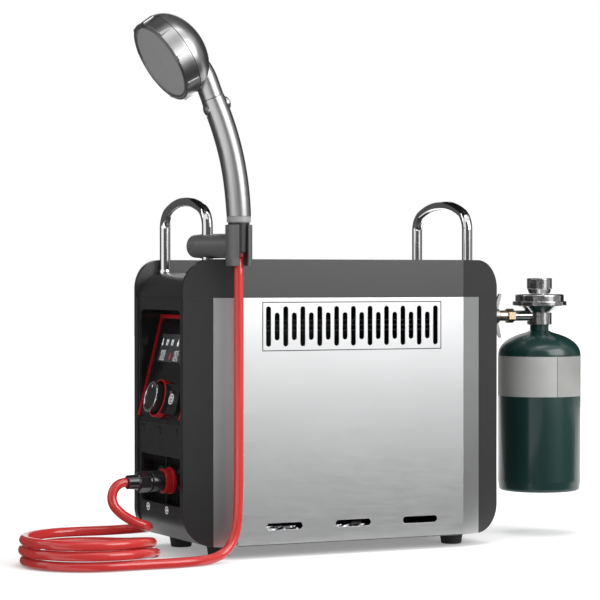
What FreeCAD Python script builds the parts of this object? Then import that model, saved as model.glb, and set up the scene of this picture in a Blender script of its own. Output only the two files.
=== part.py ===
"""Portable propane water heater: casing, console, water side, hand shower and gas side.

Frame: +X towards the gas end, -X towards the control end, -Y the front, +Z up.
The origin is on the floor under the centre of the casing.  Millimetres.
"""
import FreeCAD, Part
import Sketcher
import math
import os
from types import SimpleNamespace

doc = FreeCAD.newDocument("portable_water_heater")
sheet = doc.addObject("Spreadsheet::Sheet", "Sizes")

DRIVING = {
    # casing
    "casing_length": 390.0, "casing_height": 310.0, "rim_depth": 140.6,
    "facet_run": 55.5, "facet_bulge": 20.0, "corner_radius": 32.0,
    "cover_wall": 3.0, "rim_width": 8.8, "cap_height": 41.6,
    "trough_drop": 15.0, "trough_width": 133.0, "end_inset": 2.0,
    "plate_wall": 3.0, "fit_gap": 0.2, "soft_gap": 0.3,
    "foot_height": 13.5, "foot_radius": 13.5, "foot_taper": 2.0,
    "foot_inset_along": 49.5, "foot_inset_across": 18.3, "foot_screw": 4.0,
    # silver panels
    "sheet_wall": 1.2, "dark_margin": 30.5,
    "slot_width": 5.8, "slot_pitch": 10.33, "long_slot": 43.6, "short_slot": 30.0,
    "grille_drop": 73.0, "vent_length": 43.5, "vent_width": 7.6,
    "vent_height": 33.4, "vent_spacing": 84.0, "louvre_pitch": 5.5, "louvre_wall": 1.0,
    # console; its heights are rises above the base pan on an end of this height
    "end_height": 236.4, "console_margin": 1.3, "console_low": 98.2, "console_high": 222.7,
    "console_depth": 30.3, "header_height": 10.2, "tub_wall": 2.5, "console_corner": 12.0,
    "trim_width": 4.0, "trim_height": 3.0, "face_wall": 1.5, "face_margin": 4.0,
    "display_width": 78.0, "display_shift": 1.0, "display_gap": 19.3, "display_height": 30.7,
    "rib_pitch": 3.0, "rib_width": 1.2, "rib_height": 0.7, "boss_depth": 14.0,
    "knob_shift": 2.0, "knob_height": 123.5, "knob_radius": 17.2, "knob_length": 15.5,
    "ring_radius": 21.2, "ring_band": 2.0, "ring_wall": 7.4, "shaft_radius": 3.0, "shaft_clearance": 0.05,
    "pod_below": 16.0, "pod_above": 17.0, "pod_rise": 8.0, "button_radius": 8.5,
    "button_shift": -40.0, "button_travel": 1.5, "button_clearance": 0.3,
    # dry ports
    "port_height": 82.5, "port_pitch": 48.0, "port_shift": -2.0,
    "flap_width": 22.0, "flap_height": 24.0, "flap_wall": 2.0, "flap_corner": 5.0,
    "notch_radius": 5.0,
    # water ports and hose fittings
    "bay_width": 111.0, "bay_shift": -0.8, "bay_low": 9.5, "bay_high": 62.5,
    "bay_depth": 17.0, "water_height": 36.5, "outlet_shift": -24.3, "inlet_shift": 30.0,
    "spigot_radius": 7.0, "spigot_length": 15.0, "spigot_flange": 12.0, "flange_wall": 3.0,
    "port_nut_reach": 11.5,
    "collar_radius": 14.6, "collar_length": 12.0, "collar_step": 1.0,
    "hex_reach": 11.8, "hex_length": 11.0,
    "connector_length": 39.0, "connector_radius": 11.5, "tail_radius": 7.6,
    "hose_diameter": 10.5, "hose_nut_length": 5.0, "hose_play": 1.3, "hose_nut_wall": 2.2,
    "coil_radius": 68.5, "coil_band": 14.0, "coil_height": 33.5,
    # handles and bracket
    "handle_tube": 12.0, "handle_spread": 118.6, "handle_inset": 33.0,
    "handle_rise": 69.2, "handle_bend": 21.0, "crown_half": 24.6,
    "crown_drop": 14.1, "crown_bend": 108.0, "handle_sink": 30.0, "leg_clearance": 0.2,
    "handle_nut_reach": 9.0, "handle_nut_drop": 2.2, "handle_nut_height": 6.0,
    "barrel_radius": 13.3, "barrel_rise": 14.1, "barrel_swing": 18.2, "barrel_reach": 50.2,
    "barrel_back": 22.0, "knob_joint": 9.0, "knob_gap": 0.3, "screw_radius": 4.0,
    "cradle_radius": 14.5, "cradle_wall": 2.6, "cradle_drop": 21.6, "cradle_height": 44.0,
    "cradle_slot": 11.0,
    # hand shower; its heights are drops and rises from the middle of the barrel
    "grip_radius": 13.25, "grip_rise": 31.4, "tail_top_radius": 11.6, "tail_low_radius": 10.6,
    "tail_drop": 7.6, "foot_ring_height": 6.5,
    "head_radius": 46.4, "head_rim": 17.0, "head_dome": 32.4, "face_inset": 1.6,
    "head_shift": -90.7, "head_rise": 191.9, "head_tilt": 32.0,
    "pause_radius": 7.0, "pause_length": 31.0, "pause_clearance": 0.06,
    "pause_shift": -25.4, "pause_rise": 147.6, "pause_tilt": 23.0,
    # gas side; its heights are drops and rises from the gas line
    "gas_drop": 65.0, "gas_tube": 12.6, "cylinder_reach": 102.3, "cylinder_radius": 49.0,
    "cylinder_drop": 207.5, "cylinder_height": 188.6, "shoulder_height": 162.0,
    "neck_radius": 11.0, "cylinder_wall": 1.5, "valve_bore": 3.0,
    "regulator_drop": 11.1, "regulator_radius": 14.6, "waist_height": 17.6, "flange_height": 22.4,
    "flange_radius": 32.1, "bonnet_seat": 28.1, "bonnet_radius": 29.0, "bonnet_height": 8.2,
    "stem_radius": 10.0, "dial_rise": 26.0, "dial_height": 18.4,
    "dial_radius": 14.9, "dial_foot_radius": 12.0, "dial_taper": 5.5, "pocket_half": 4.9, "pocket_depth": 1.8,
    "pocket_turn": 205.0, "wing_span": 52.0, "wing_wall": 1.6, "wing_nut_radius": 9.0,
    "wing_nut_length": 7.5, "union_radius": 8.4, "union_length": 9.0, "nut_gap": 0.3,
    "stub_radius": 6.3, "stub_length": 56.1, "wing_nut_reach": 37.0,
    # works inside
    "works_room": 110.0, "chamber_depth": 92.0, "chamber_low": 92.0, "exchanger_height": 36.0,
    "hood_below": 26.5, "hood_above": 25.5, "hood_wall": 1.5, "burner_low": 66.0, "burner_height": 22.0,
    "mount_leg": 4.0, "fin_wall": 1.2, "valve_length": 40.0, "valve_room": 75.0,
    "pump_room": 33.0,
}


class Size:
    """A number together with the sheet expression that gives it."""

    def __init__(self, number, text):
        self.number = number
        self.text = text

    def __add__(self, other):
        other = as_size(other)
        return Size(self.number + other.number, f"({self.text} + {other.text})")

    def __sub__(self, other):
        other = as_size(other)
        return Size(self.number - other.number, f"({self.text} - {other.text})")

    def __mul__(self, other):
        other = as_size(other)
        return Size(self.number * other.number, f"({self.text} * {other.text})")

    def __truediv__(self, other):
        other = as_size(other)
        return Size(self.number / other.number, f"({self.text} / {other.text})")

    def __neg__(self):
        return Size(-self.number, f"(0 - {self.text})")

    def __radd__(self, other):
        return as_size(other) + self

    def __rsub__(self, other):
        return as_size(other) - self

    def __rmul__(self, other):
        return as_size(other) * self


def as_size(value):
    """A plain number as a Size, so that the two mix in sums."""
    if isinstance(value, Size):
        return value
    return Size(float(value), f"({float(value)})")


def sin_of(angle):
    """Sine of an angle in degrees."""
    return Size(math.sin(math.radians(angle.number)), f"sin({angle.text})")


def cos_of(angle):
    """Cosine of an angle in degrees."""
    return Size(math.cos(math.radians(angle.number)), f"cos({angle.text})")


def slope_angle(rise, run):
    """Angle in degrees whose tangent is rise over run."""
    return Size(math.degrees(math.atan(rise.number / run.number)),
                f"(atan({rise.text} / {run.text}) / 1 deg)")


for row, (alias, value) in enumerate(DRIVING.items(), start=1):
    sheet.set(f"A{row}", alias)
    sheet.set(f"B{row}", str(value))
    sheet.setAlias(f"B{row}", alias)
doc.recompute()
S = SimpleNamespace(**{alias: Size(value, f"Sizes.{alias}") for alias, value in DRIVING.items()})

nodes = []
QUARTER = 90.0
TURNS = {
    "X": FreeCAD.Rotation(FreeCAD.Vector(0, 1, 0), QUARTER),
    "-X": FreeCAD.Rotation(FreeCAD.Vector(0, 1, 0), -QUARTER),
    "Y": FreeCAD.Rotation(FreeCAD.Vector(1, 0, 0), -QUARTER),
    "-Y": FreeCAD.Rotation(FreeCAD.Vector(1, 0, 0), QUARTER),
    "Z": FreeCAD.Rotation(),
}


# ---------------------------------------------------------------- building blocks

def bind(item, prop, size):
    """Tie a property to the sheet."""
    item.setExpression(prop, as_size(size).text)


def place(item, x=0, y=0, z=0, turn=None):
    """Put an object at sheet-driven coordinates, turned by a fixed rotation."""
    item.Placement = FreeCAD.Placement(FreeCAD.Vector(), turn or FreeCAD.Rotation())
    bind(item, "Placement.Base.x", x)
    bind(item, "Placement.Base.y", y)
    bind(item, "Placement.Base.z", z)
    return item


def node(item):
    """Keep an object as a piece of the product under its own label."""
    nodes.append(item)
    return item


def block(label, x, y, z):
    """Box between (low, high) pairs."""
    item = doc.addObject("Part::Box", label)
    for prop, (low, high) in zip(("Length", "Width", "Height"), (x, y, z)):
        bind(item, prop, as_size(high) - low)
    return place(item, x[0], y[0], z[0])


def rod(label, radius, length, x, y, z, along="Z"):
    """Cylinder from a start point along an axis."""
    item = doc.addObject("Part::Cylinder", label)
    bind(item, "Radius", radius)
    bind(item, "Height", length)
    return place(item, x, y, z, TURNS[along])


def cut(label, base, *tools):
    """Base less its tools."""
    item = doc.addObject("Part::Cut", label)
    item.Base = base
    item.Tool = tools[0] if len(tools) == 1 else join(label + "_tools", *tools)
    return item


def join(label, *pieces):
    """One solid from several."""
    item = doc.addObject("Part::MultiFuse", label)
    item.Shapes = list(pieces)
    item.Refine = True
    return item


def overlap(label, *pieces):
    """What several solids share."""
    item = doc.addObject("Part::MultiCommon", label)
    item.Shapes = list(pieces)
    return item


def group(label, *pieces):
    """Separate identical solids kept as one piece."""
    item = doc.addObject("Part::Compound", label)
    item.Links = list(pieces)
    return item


def mirrored(label, piece, normal):
    """Mirror image in a plane through the origin."""
    item = doc.addObject("Part::Mirroring", label)
    item.Source = piece
    item.Normal = FreeCAD.Vector(*normal)
    return item


def fix_point(sketch, index, end, across, up):
    """Hold one vertex of a sketch at sheet-driven coordinates."""
    for kind, size in (("DistanceX", across), ("DistanceY", up)):
        size = as_size(size)
        number = sketch.addConstraint(Sketcher.Constraint(kind, -1, 1, index, end, size.number))
        sketch.setExpression(f"Constraints[{number}]", size.text)


def draw(sketch, corners, closed=True):
    """Sides between corners (across, up) or (across, up, radius), all tied to the sheet."""
    count = len(corners)
    flat = [(as_size(c[0]).number, as_size(c[1]).number) for c in corners]
    trims = []
    for index, corner in enumerate(corners):
        rounded = len(corner) == 3 and (closed or 0 < index < count - 1)
        if not rounded:
            trims.append(None)
            continue
        here = FreeCAD.Vector(*flat[index])
        before = (FreeCAD.Vector(*flat[index - 1]) - here).normalize()
        after = (FreeCAD.Vector(*flat[(index + 1) % count]) - here).normalize()
        half = before.getAngle(after) / 2
        radius = as_size(corner[2]).number
        reach = radius / math.tan(half)
        centre = here + (before + after).normalize() * (radius / math.sin(half))
        trims.append((here + before * reach, here + after * reach, centre, radius))
    sides = count if closed else count - 1
    lines = []
    for index in range(sides):
        following = (index + 1) % count
        start = trims[index][1] if trims[index] else FreeCAD.Vector(*flat[index])
        end = trims[following][0] if trims[following] else FreeCAD.Vector(*flat[following])
        lines.append(sketch.addGeometry(Part.LineSegment(start, end)))
    for index, corner in enumerate(corners):
        arriving = lines[index - 1] if (closed or index) else None
        leaving = lines[index] if index < sides else None
        if trims[index] is None:
            if arriving is not None and leaving is not None:
                sketch.addConstraint(Sketcher.Constraint("Coincident", arriving, 2, leaving, 1))
            held = (leaving, 1) if leaving is not None else (arriving, 2)
            fix_point(sketch, *held, corner[0], corner[1])
            continue
        first, last, centre, radius = trims[index]
        middle = centre + ((first + last) / 2 - centre).normalize() * radius
        arc = sketch.addGeometry(Part.Arc(first, middle, last))
        starts = sketch.getPoint(arc, 1).distanceToPoint(first) < 1e-6
        sketch.addConstraint(Sketcher.Constraint("Tangent", arriving, 2, arc, 1 if starts else 2))
        sketch.addConstraint(Sketcher.Constraint("Tangent", arc, 2 if starts else 1, leaving, 1))
        number = sketch.addConstraint(Sketcher.Constraint("Radius", arc, radius))
        sketch.setExpression(f"Constraints[{number}]", as_size(corner[2]).text)
        point = sketch.addGeometry(Part.Point(FreeCAD.Vector(*flat[index])), True)
        fix_point(sketch, point, 1, corner[0], corner[1])
        sketch.addConstraint(Sketcher.Constraint("PointOnObject", point, 1, arriving))
        sketch.addConstraint(Sketcher.Constraint("PointOnObject", point, 1, leaving))


def origin_plane(body, role):
    """One of a body's own base planes."""
    return next(item for item in body.Origin.OriginFeatures if item.Role == role)


def body_sketch(body, label, role, corners, closed=True):
    """Sketch on one of the body's own planes."""
    sketch = body.newObject("Sketcher::SketchObject", label)
    sketch.AttachmentSupport = [(origin_plane(body, role), "")]
    sketch.MapMode = "FlatFace"
    draw(sketch, corners, closed)
    return sketch


def turned(label, profile, x=0, y=0, z=0, turn=None):
    """Body revolved about its own Z from a half section of (radius, height) corners."""
    body = doc.addObject("PartDesign::Body", label)
    sketch = body_sketch(body, label + "_section", "XZ_Plane", profile)
    revolution = body.newObject("PartDesign::Revolution", label + "_turning")
    revolution.Profile = sketch
    revolution.ReferenceAxis = (sketch, ["V_Axis"])
    revolution.Angle = 360.0
    body.Tip = revolution
    return place(body, x, y, z, turn)


def padded(label, corners, length, x=0, y=0, z=0, turn=None):
    """Body padded up its own Z from a plan outline."""
    body = doc.addObject("PartDesign::Body", label)
    sketch = body_sketch(body, label + "_outline", "XY_Plane", corners)
    pad = body.newObject("PartDesign::Pad", label + "_pad")
    pad.Profile = sketch
    bind(pad, "Length", length)
    body.Tip = pad
    return place(body, x, y, z, turn)


def side_prism(label, corners, low, high):
    """Prism with its outline in the X-Z plane, between two Y values."""
    return padded(label, corners, as_size(high) - low, y=high, turn=TURNS["-Y"])


def end_prism(label, corners, low, high):
    """Prism with its outline in the Y-Z plane, between two X values."""
    upright = FreeCAD.Rotation(FreeCAD.Vector(1, 1, 1), 120)
    return padded(label, corners, as_size(high) - low, x=low, turn=upright)


def rounded_box(low_across, high_across, low_up, high_up, radius):
    """Corners of an upright rectangle with one radius."""
    return [(low_across, low_up, radius), (high_across, low_up, radius),
            (high_across, high_up, radius), (low_across, high_up, radius)]


def hexagon(reach):
    """Corners of a hexagon whose corners reach out this far."""
    return [(reach * cos_of(as_size(60 * i)), reach * sin_of(as_size(60 * i))) for i in range(6)]


def upright_slot(across, up, width, length):
    """Corners of a round-ended slot that stands upright; its ends are just short of full round."""
    round_end = width / 2 * 0.98
    return rounded_box(across - width / 2, across + width / 2, up - length / 2, up + length / 2,
                       round_end)


# ---------------------------------------------------------------- casing

half_length = S.casing_length / 2
half_rim = S.rim_depth / 2
casing_low = S.foot_height
casing_high = S.foot_height + S.casing_height
seam = casing_high - S.cap_height
spine_half = half_rim - S.rim_width
front_face = -(half_rim + S.facet_bulge)
facet_edge = half_length - S.facet_run
spine_end = half_length - S.end_inset
spine_top = casing_high - S.trough_drop
pan_high = casing_low + S.corner_radius
grille_height = casing_high - S.grille_drop


def casing_form(label, inset, low, high):
    """Faceted plan outline and round-cornered elevation, both drawn in by the inset."""
    end = half_length - inset
    rim = half_rim - inset
    face = half_rim + S.facet_bulge - inset
    plan = [(-end, -rim), (-facet_edge, -face), (facet_edge, -face), (end, -rim),
            (end, rim), (facet_edge, face), (-facet_edge, face), (-end, rim)]
    column = padded(label + "_plan", plan, as_size(high) - low, z=low)
    front = rounded_box(-end, end, casing_low + inset, casing_high - inset, S.corner_radius - inset)
    slab = side_prism(label + "_front", front, -face, face)
    return overlap(label, column, slab)


def chevron(inner, outer, reach):
    """Band that follows the front facets between two depths, out to a reach along X."""
    slope = S.facet_bulge / S.facet_run
    fall = (reach - facet_edge) * slope
    return [(-reach, -(outer - fall)), (-facet_edge, -outer), (facet_edge, -outer),
            (reach, -(outer - fall)), (reach, -(inner - fall)), (facet_edge, -inner),
            (-facet_edge, -inner), (-reach, -(inner - fall))]


panel_reach = half_length - S.dark_margin
face_depth = half_rim + S.facet_bulge
panel_band = chevron(face_depth - S.sheet_wall, face_depth, panel_reach)
slot_row = range(-10, 11)


def vent_slots(label, low, high):
    """Three lying slots low in a panel."""
    slots = []
    for index in (-1, 0, 1):
        middle = S.vent_spacing * index
        corners = rounded_box(middle - S.vent_length / 2, middle + S.vent_length / 2,
                              S.vent_height - S.vent_width / 2, S.vent_height + S.vent_width / 2,
                              S.vent_width / 2 * 0.98)
        slots.append(side_prism(f"{label}_{index + 2}", corners, low, high))
    return slots


def make_cover(label, with_grille):
    """Front shell: faceted wall with returns at its ends and foot, open behind and above."""
    shell = cut(label + "_shell", casing_form(label + "_outer", as_size(0), casing_low, seam),
                casing_form(label + "_inner", S.cover_wall, casing_low + S.cover_wall, casing_high))
    near = block(label + "_near", (-S.casing_length, S.casing_length), (-S.casing_length, -spine_half),
                 (0, seam))
    seat = padded(label + "_seat", panel_band, S.casing_height, z=casing_low - 1)
    behind = -(face_depth + 1), -(face_depth - S.cover_wall * 2)
    openings = []
    if with_grille:
        grille_half = S.slot_pitch * 10 + S.slot_width
        openings.append(block(label + "_window", (-grille_half, grille_half), behind,
                              (grille_height - S.long_slot / 2 - 1,
                               grille_height + S.long_slot / 2 + 1)))
    vents = S.vent_spacing + S.vent_length
    openings.append(block(label + "_vents", (-vents, vents), behind,
                          (S.vent_height - S.vent_width, S.vent_height + S.vent_width)))
    return cut(label, overlap(label + "_half", shell, near), seat, *openings)


def make_panel(label, with_grille):
    """Brushed sheet folded over the facets, pierced by the grille and the low vents."""
    skin = padded(label + "_sheet", panel_band, seam - S.fit_gap - casing_low, z=casing_low)
    through = -(face_depth + 1), -(face_depth - S.sheet_wall - 1)
    tools = vent_slots(label + "_vent", *through)
    if with_grille:
        for index in slot_row:
            length = S.long_slot if index % 2 == 0 else S.short_slot
            corners = upright_slot(S.slot_pitch * index, grille_height, S.slot_width, length)
            tools.append(side_prism(f"{label}_slot_{index + 11}", corners, *through))
    return cut(label, skin, *tools)


node(make_cover("front_cover", True))
node(mirrored("rear_cover", make_cover("rear_cover_master", False), (0, 1, 0)))
node(make_panel("front_panel", True))
node(mirrored("rear_panel", make_panel("rear_panel_master", False), (0, 1, 0)))


def spine_form(label, inset, width):
    """Round-cornered form of the spine that runs over the top between the covers."""
    end = spine_end - inset
    corners = [(-end, seam - 1), (end, seam - 1), (end, spine_top - inset, S.corner_radius - inset),
               (-end, spine_top - inset, S.corner_radius - inset)]
    return side_prism(label, corners, -width, width)


handle_along = half_length - S.handle_inset


def make_top_cap():
    """Upper moulding: front and rear bands with a sunk trough for the handles between them."""
    trough = S.trough_width / 2
    sunk = cut("top_cap_sunk",
               block("top_cap_gap", (-S.casing_length, S.casing_length), (-trough, trough),
                     (seam - 1, casing_high + 1)),
               spine_form("top_cap_spine", as_size(0), trough + 1))
    roof = cut("top_cap_roof",
               block("top_cap_roof_gap", (-S.casing_length, S.casing_length),
                     (-trough - S.cover_wall, trough + S.cover_wall), (seam - 2, casing_high + 2)),
               spine_form("top_cap_under", S.cover_wall, trough + S.cover_wall + 1))
    hollow = cut("top_cap_hollow", casing_form("top_cap_inner", S.cover_wall, casing_low, casing_high),
                 roof)
    holes = [rod(f"top_cap_hole_{i}{j}", S.handle_tube / 2 + S.leg_clearance, S.trough_drop * 2,
                 handle_along * i, S.handle_spread / 2 * j, spine_top - S.trough_drop)
             for i in (-1, 1) for j in (-1, 1)]
    outer = casing_form("top_cap_outer", as_size(0), casing_low, casing_high)
    above = block("top_cap_above", (-S.casing_length, S.casing_length),
                  (-S.casing_length, S.casing_length), (seam, casing_high + 1))
    return cut("top_cap", overlap("top_cap_band", outer, above), sunk, hollow, *holes)


node(make_top_cap())

plate_half = spine_half - S.fit_gap
pan_radius = S.corner_radius - S.end_inset
inner_end = spine_end - S.plate_wall
node(side_prism("base_pan", [
    (-spine_end, pan_high), (-spine_end, casing_low, pan_radius),
    (spine_end, casing_low, pan_radius), (spine_end, pan_high), (inner_end, pan_high),
    (inner_end, casing_low + S.plate_wall, pan_radius - S.plate_wall),
    (-inner_end, casing_low + S.plate_wall, pan_radius - S.plate_wall),
    (-inner_end, pan_high)], -plate_half, plate_half))

foot_along = half_length - S.foot_inset_along
foot_across = half_rim - S.foot_inset_across
foot_profile = [(0, 2), (S.foot_screw, 2), (S.foot_screw, 0), (S.foot_radius - S.foot_taper, 0, 1.5),
                (S.foot_radius, S.foot_height), (0, S.foot_height)]
node(group("feet", *[turned(f"foot_{i}{j}", foot_profile, foot_along * i, foot_across * j)
                     for i in (-1, 1) for j in (-1, 1)]))

# The foil liner stands just behind the low vents, on the pan's edge of the front cover.
liner_face = face_depth - S.cover_wall * 2 - 1
node(block("heat_shield", (-facet_edge + 10, facet_edge - 10), (-liner_face, -liner_face + 0.8),
           (casing_low + S.cover_wall + S.fit_gap, S.vent_height * 2)))


# ---------------------------------------------------------------- control end

control_face = -spine_end
control_back = control_face + S.plate_wall
end_stretch = (seam - pan_high) / S.end_height


def up_end(rise):
    """Height of a feature of the control end, from its rise above the base pan."""
    return pan_high + rise * end_stretch


console_low = up_end(S.console_low)
console_high = up_end(S.console_high)
knob_height = up_end(S.knob_height)
pod_low = knob_height - S.pod_below * end_stretch
pod_high = knob_height + S.pod_above * end_stretch
display_low = knob_height + S.ring_radius + S.display_gap * end_stretch
display_high = display_low + S.display_height * end_stretch
port_height = up_end(S.port_height)
bay_low = up_end(S.bay_low)
bay_high = up_end(S.bay_high)
water_height = up_end(S.water_height)
console_half = plate_half - S.console_margin
header_low = console_high - S.header_height
header_face = -half_length + S.console_depth
slope_foot = console_low + S.tub_wall - S.fit_gap
slope_run = header_low - slope_foot
slope_rise = header_face - control_face
lean = slope_angle(slope_rise, slope_run)


def slope_at(height):
    """X of the console's sloping face at a height."""
    return control_face + slope_rise * ((height - slope_foot) / slope_run)


def on_slope(item, shift, height, lift=0):
    """Stand a piece that was built up Z on the sloping face, pointing out of it."""
    out_x = -cos_of(lean)
    out_z = sin_of(lean)
    place(item, slope_at(height) + out_x * lift, shift, as_size(height) + out_z * lift,
          FreeCAD.Rotation(FreeCAD.Vector(0, 1, 0), -QUARTER))
    bind(item, "Placement.Rotation.Angle", QUARTER - lean)
    bind(item, "Placement.Rotation.Axis.y", -1)
    return item


port_shifts = [S.port_shift + S.port_pitch * i for i in (-1, 0, 1)]
bay_left = S.bay_shift - S.bay_width / 2
bay_right = S.bay_shift + S.bay_width / 2


def flap_outline(shift, margin):
    """Outline of a dry-port flap, grown by a margin."""
    half = S.flap_width / 2 + margin
    tall = S.flap_height / 2 + margin
    return rounded_box(shift - half, shift + half, port_height - tall, port_height + tall,
                       S.flap_corner + margin)


def make_control_panel():
    """End plate with the console window, three dry-port windows and the water bay window."""
    blank = end_prism("control_end_blank", [
        (-plate_half, pan_high), (plate_half, pan_high), (plate_half, seam), (-plate_half, seam)],
        control_face, control_back)
    window = end_prism("control_end_window", [
        (-console_half, console_low), (console_half, console_low),
        (console_half, console_high, S.console_corner), (-console_half, console_high, S.console_corner)],
        control_face - 1, control_back + 1)
    bay = end_prism("control_end_bay", rounded_box(bay_left, bay_right, bay_low, bay_high, 3),
                    control_face - 1, control_back + 1)
    ports = [end_prism(f"control_end_port_{i}", flap_outline(shift, S.soft_gap),
                       control_face - 1, control_back + 1)
             for i, shift in enumerate(port_shifts)]
    return cut("control_end_panel", blank, window, bay, *ports)


node(make_control_panel())


def make_console_housing():
    """Tub behind the console window: cheeks, ceiling, header and the sloping floor."""
    wall = S.tub_wall
    back = header_face + wall
    outer = side_prism("console_tub_outer", [
        (control_back, console_low - wall), (control_back, console_high + wall),
        (back, console_high + wall), (back, header_low - wall),
        (control_back + wall * 1.5, console_low - wall)],
        -(console_half + wall / 2), console_half + wall / 2)
    lip = side_prism("console_tub_lip", [
        (control_face, console_low + S.fit_gap), (control_face, slope_foot),
        (slope_at(header_low), header_low), (control_back + wall, header_low),
        (control_back + wall, console_low + S.fit_gap)],
        -(console_half - S.fit_gap), console_half - S.fit_gap)
    hollow = side_prism("console_tub_hollow", [
        (control_face - 1, slope_foot), (control_face, slope_foot), (header_face, header_low),
        (header_face, console_high, 6), (control_face - 1, console_high)],
        -console_half, console_half)
    shell = cut("console_shell", join("console_tub", outer, lip), hollow)
    boss = on_slope(rod("console_boss", S.shaft_radius * 2.5, S.boss_depth - 1, 0, 0, 0), S.knob_shift,
                    knob_height, -S.boss_depth)
    bore = on_slope(rod("console_bore", S.shaft_radius + S.shaft_clearance, S.boss_depth * 2, 0, 0, 0),
                    S.knob_shift, knob_height, -S.boss_depth - 1)
    return cut("console_housing", join("console_body", shell, boss), bore)


def slope_band(low, high, rise):
    """Outline of a layer lying on the slope between two heights."""
    out_x = cos_of(lean) * rise
    out_z = sin_of(lean) * rise
    return [(slope_at(low), low), (slope_at(high), high), (slope_at(high) - out_x, high + out_z),
            (slope_at(low) - out_x, low + out_z)]


def make_console_trim():
    """Red inverted U: the header face and a raised strip down each edge of the slope."""
    strip_low = slope_foot + S.trim_height
    strips = [side_prism(f"console_trim_strip_{i}", slope_band(strip_low, header_low, S.trim_height),
                         low, high)
              for i, (low, high) in enumerate((
                  (-console_half + S.fit_gap, -console_half + S.trim_width),
                  (console_half - S.trim_width, console_half - S.fit_gap)))]
    header = block("console_trim_header", (header_face - S.trim_height, header_face),
                   (-console_half + S.fit_gap, console_half - S.fit_gap),
                   (header_low, console_high - 6))
    return join("console_trim", header, *strips)


face_low = slope_foot + S.face_margin
face_high = header_low - S.trim_height - S.fit_gap - 1
face_half = console_half - S.trim_width - S.fit_gap
pod_near = -face_half + 1
button_low = S.pod_rise - 3
pod_middle = (pod_low + pod_high) / 2
pod_half = (pod_high - pod_low) / 2


def make_console_face():
    """Black face plate on the slope, with fine ribs under the display and the shaft hole."""
    plate = side_prism("console_face_plate", slope_band(face_low, face_high, S.face_wall),
                       -face_half, face_half)
    ribs = [side_prism(f"console_face_rib_{i}",
                       slope_band(display_low - S.face_margin - S.rib_pitch * i - S.rib_width,
                                  display_low - S.face_margin - S.rib_pitch * i,
                                  S.face_wall + S.rib_height),
                       S.display_shift - S.display_width / 2, S.display_shift + S.display_width / 2)
            for i in range(5)]
    pod = on_slope(padded("console_face_pod", rounded_box(-pod_half, pod_half, pod_near, S.knob_shift, 5),
                          S.pod_rise), 0, pod_middle)
    seat = on_slope(rod("console_face_seat", S.ring_radius + S.soft_gap, S.pod_rise * 2, 0, 0, 0),
                    S.knob_shift, knob_height, S.face_wall)
    well = on_slope(rod("console_face_well", S.button_radius + S.button_clearance, S.pod_rise, 0, 0, 0),
                    S.button_shift, pod_middle, button_low)
    bore = on_slope(rod("console_face_bore", S.shaft_radius + 1, 20, 0, 0, 0), S.knob_shift,
                    knob_height, -10)
    return cut("console_face", join("console_face_body", plate, pod, *ribs), seat, well, bore)


node(make_console_housing())
node(make_console_trim())
node(make_console_face())

node(side_prism("display_window", [
    (slope_at(display_low) - (S.face_wall * cos_of(lean)), display_low + S.face_wall * sin_of(lean)),
    (slope_at(display_high) - (S.face_wall * cos_of(lean)), display_high + S.face_wall * sin_of(lean)),
    (slope_at(display_high) - (S.face_wall * 2 * cos_of(lean)),
     display_high + S.face_wall * 2 * sin_of(lean)),
    (slope_at(display_low) - (S.face_wall * 2 * cos_of(lean)),
     display_low + S.face_wall * 2 * sin_of(lean))],
    S.display_shift - S.display_width / 2, S.display_shift + S.display_width / 2))

button_rise = S.pod_rise + 0.8
button_body = button_rise - button_low - S.button_travel - 0.4
node(on_slope(turned("power_button", [
    (0, 0), (S.button_radius, 0), (S.button_radius, button_body, 0.8), (0, button_body)]),
    S.button_shift, pod_middle, button_rise - button_body))

node(on_slope(turned("dial_ring", [
    (S.ring_radius - S.ring_band, 0), (S.ring_radius, 0), (S.ring_radius, S.ring_wall, 0.8),
    (S.ring_radius - S.ring_band, S.ring_wall, 0.6)]), S.knob_shift, knob_height, S.face_wall))

knob_lift = S.face_wall + S.soft_gap
knob_shaft = 12.0
grip_count = 30


def make_knob():
    """Turned knob with a shaft behind it and fine grip flutes round its skirt."""
    rim = S.knob_radius
    blank = turned("temperature_knob_blank", [
        (0, -knob_shaft), (S.shaft_radius, -knob_shaft), (S.shaft_radius, 0), (rim - 1.5, 0, 1),
        (rim - 0.6, S.knob_length - 2), (rim - 3, S.knob_length - 2),
        (rim - 3, S.knob_length - 1), (0, S.knob_length - 1)])
    flutes = []
    for index in range(grip_count):
        angle = as_size(360.0 / grip_count * index)
        flutes.append(rod(f"temperature_knob_flute_{index}", 0.9, S.knob_length - 5,
                          rim * cos_of(angle), rim * sin_of(angle), 1.5))
    return on_slope(cut("temperature_knob", blank, *flutes), S.knob_shift, knob_height, knob_lift)


node(make_knob())
node(on_slope(turned("knob_face_ring", [
    (S.knob_radius - 2.8, S.knob_length - 2), (S.knob_radius, S.knob_length - 2),
    (S.knob_radius, S.knob_length, 0.8), (S.knob_radius - 2.8, S.knob_length, 0.8)]),
    S.knob_shift, knob_height, knob_lift))

flap_low = port_height - S.flap_height / 2
for index, shift in enumerate(port_shifts):
    leaf = end_prism(f"port_cover_{index + 1}_leaf", flap_outline(shift, 0),
                     control_face, control_face + S.flap_wall)
    thumb = rod(f"port_cover_{index + 1}_thumb", S.notch_radius, 1.2,
                control_face - 0.2, shift, port_height + S.flap_height / 2 - 3, "X")
    plug = rod(f"port_cover_{index + 1}_plug", 3.6, 3, control_face + S.flap_wall, shift,
               port_height, "X")
    node(join(f"port_cover_{index + 1}", cut(f"port_cover_{index + 1}_face", leaf, thumb), plug))

socket_front = control_back + 1.5


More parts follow.
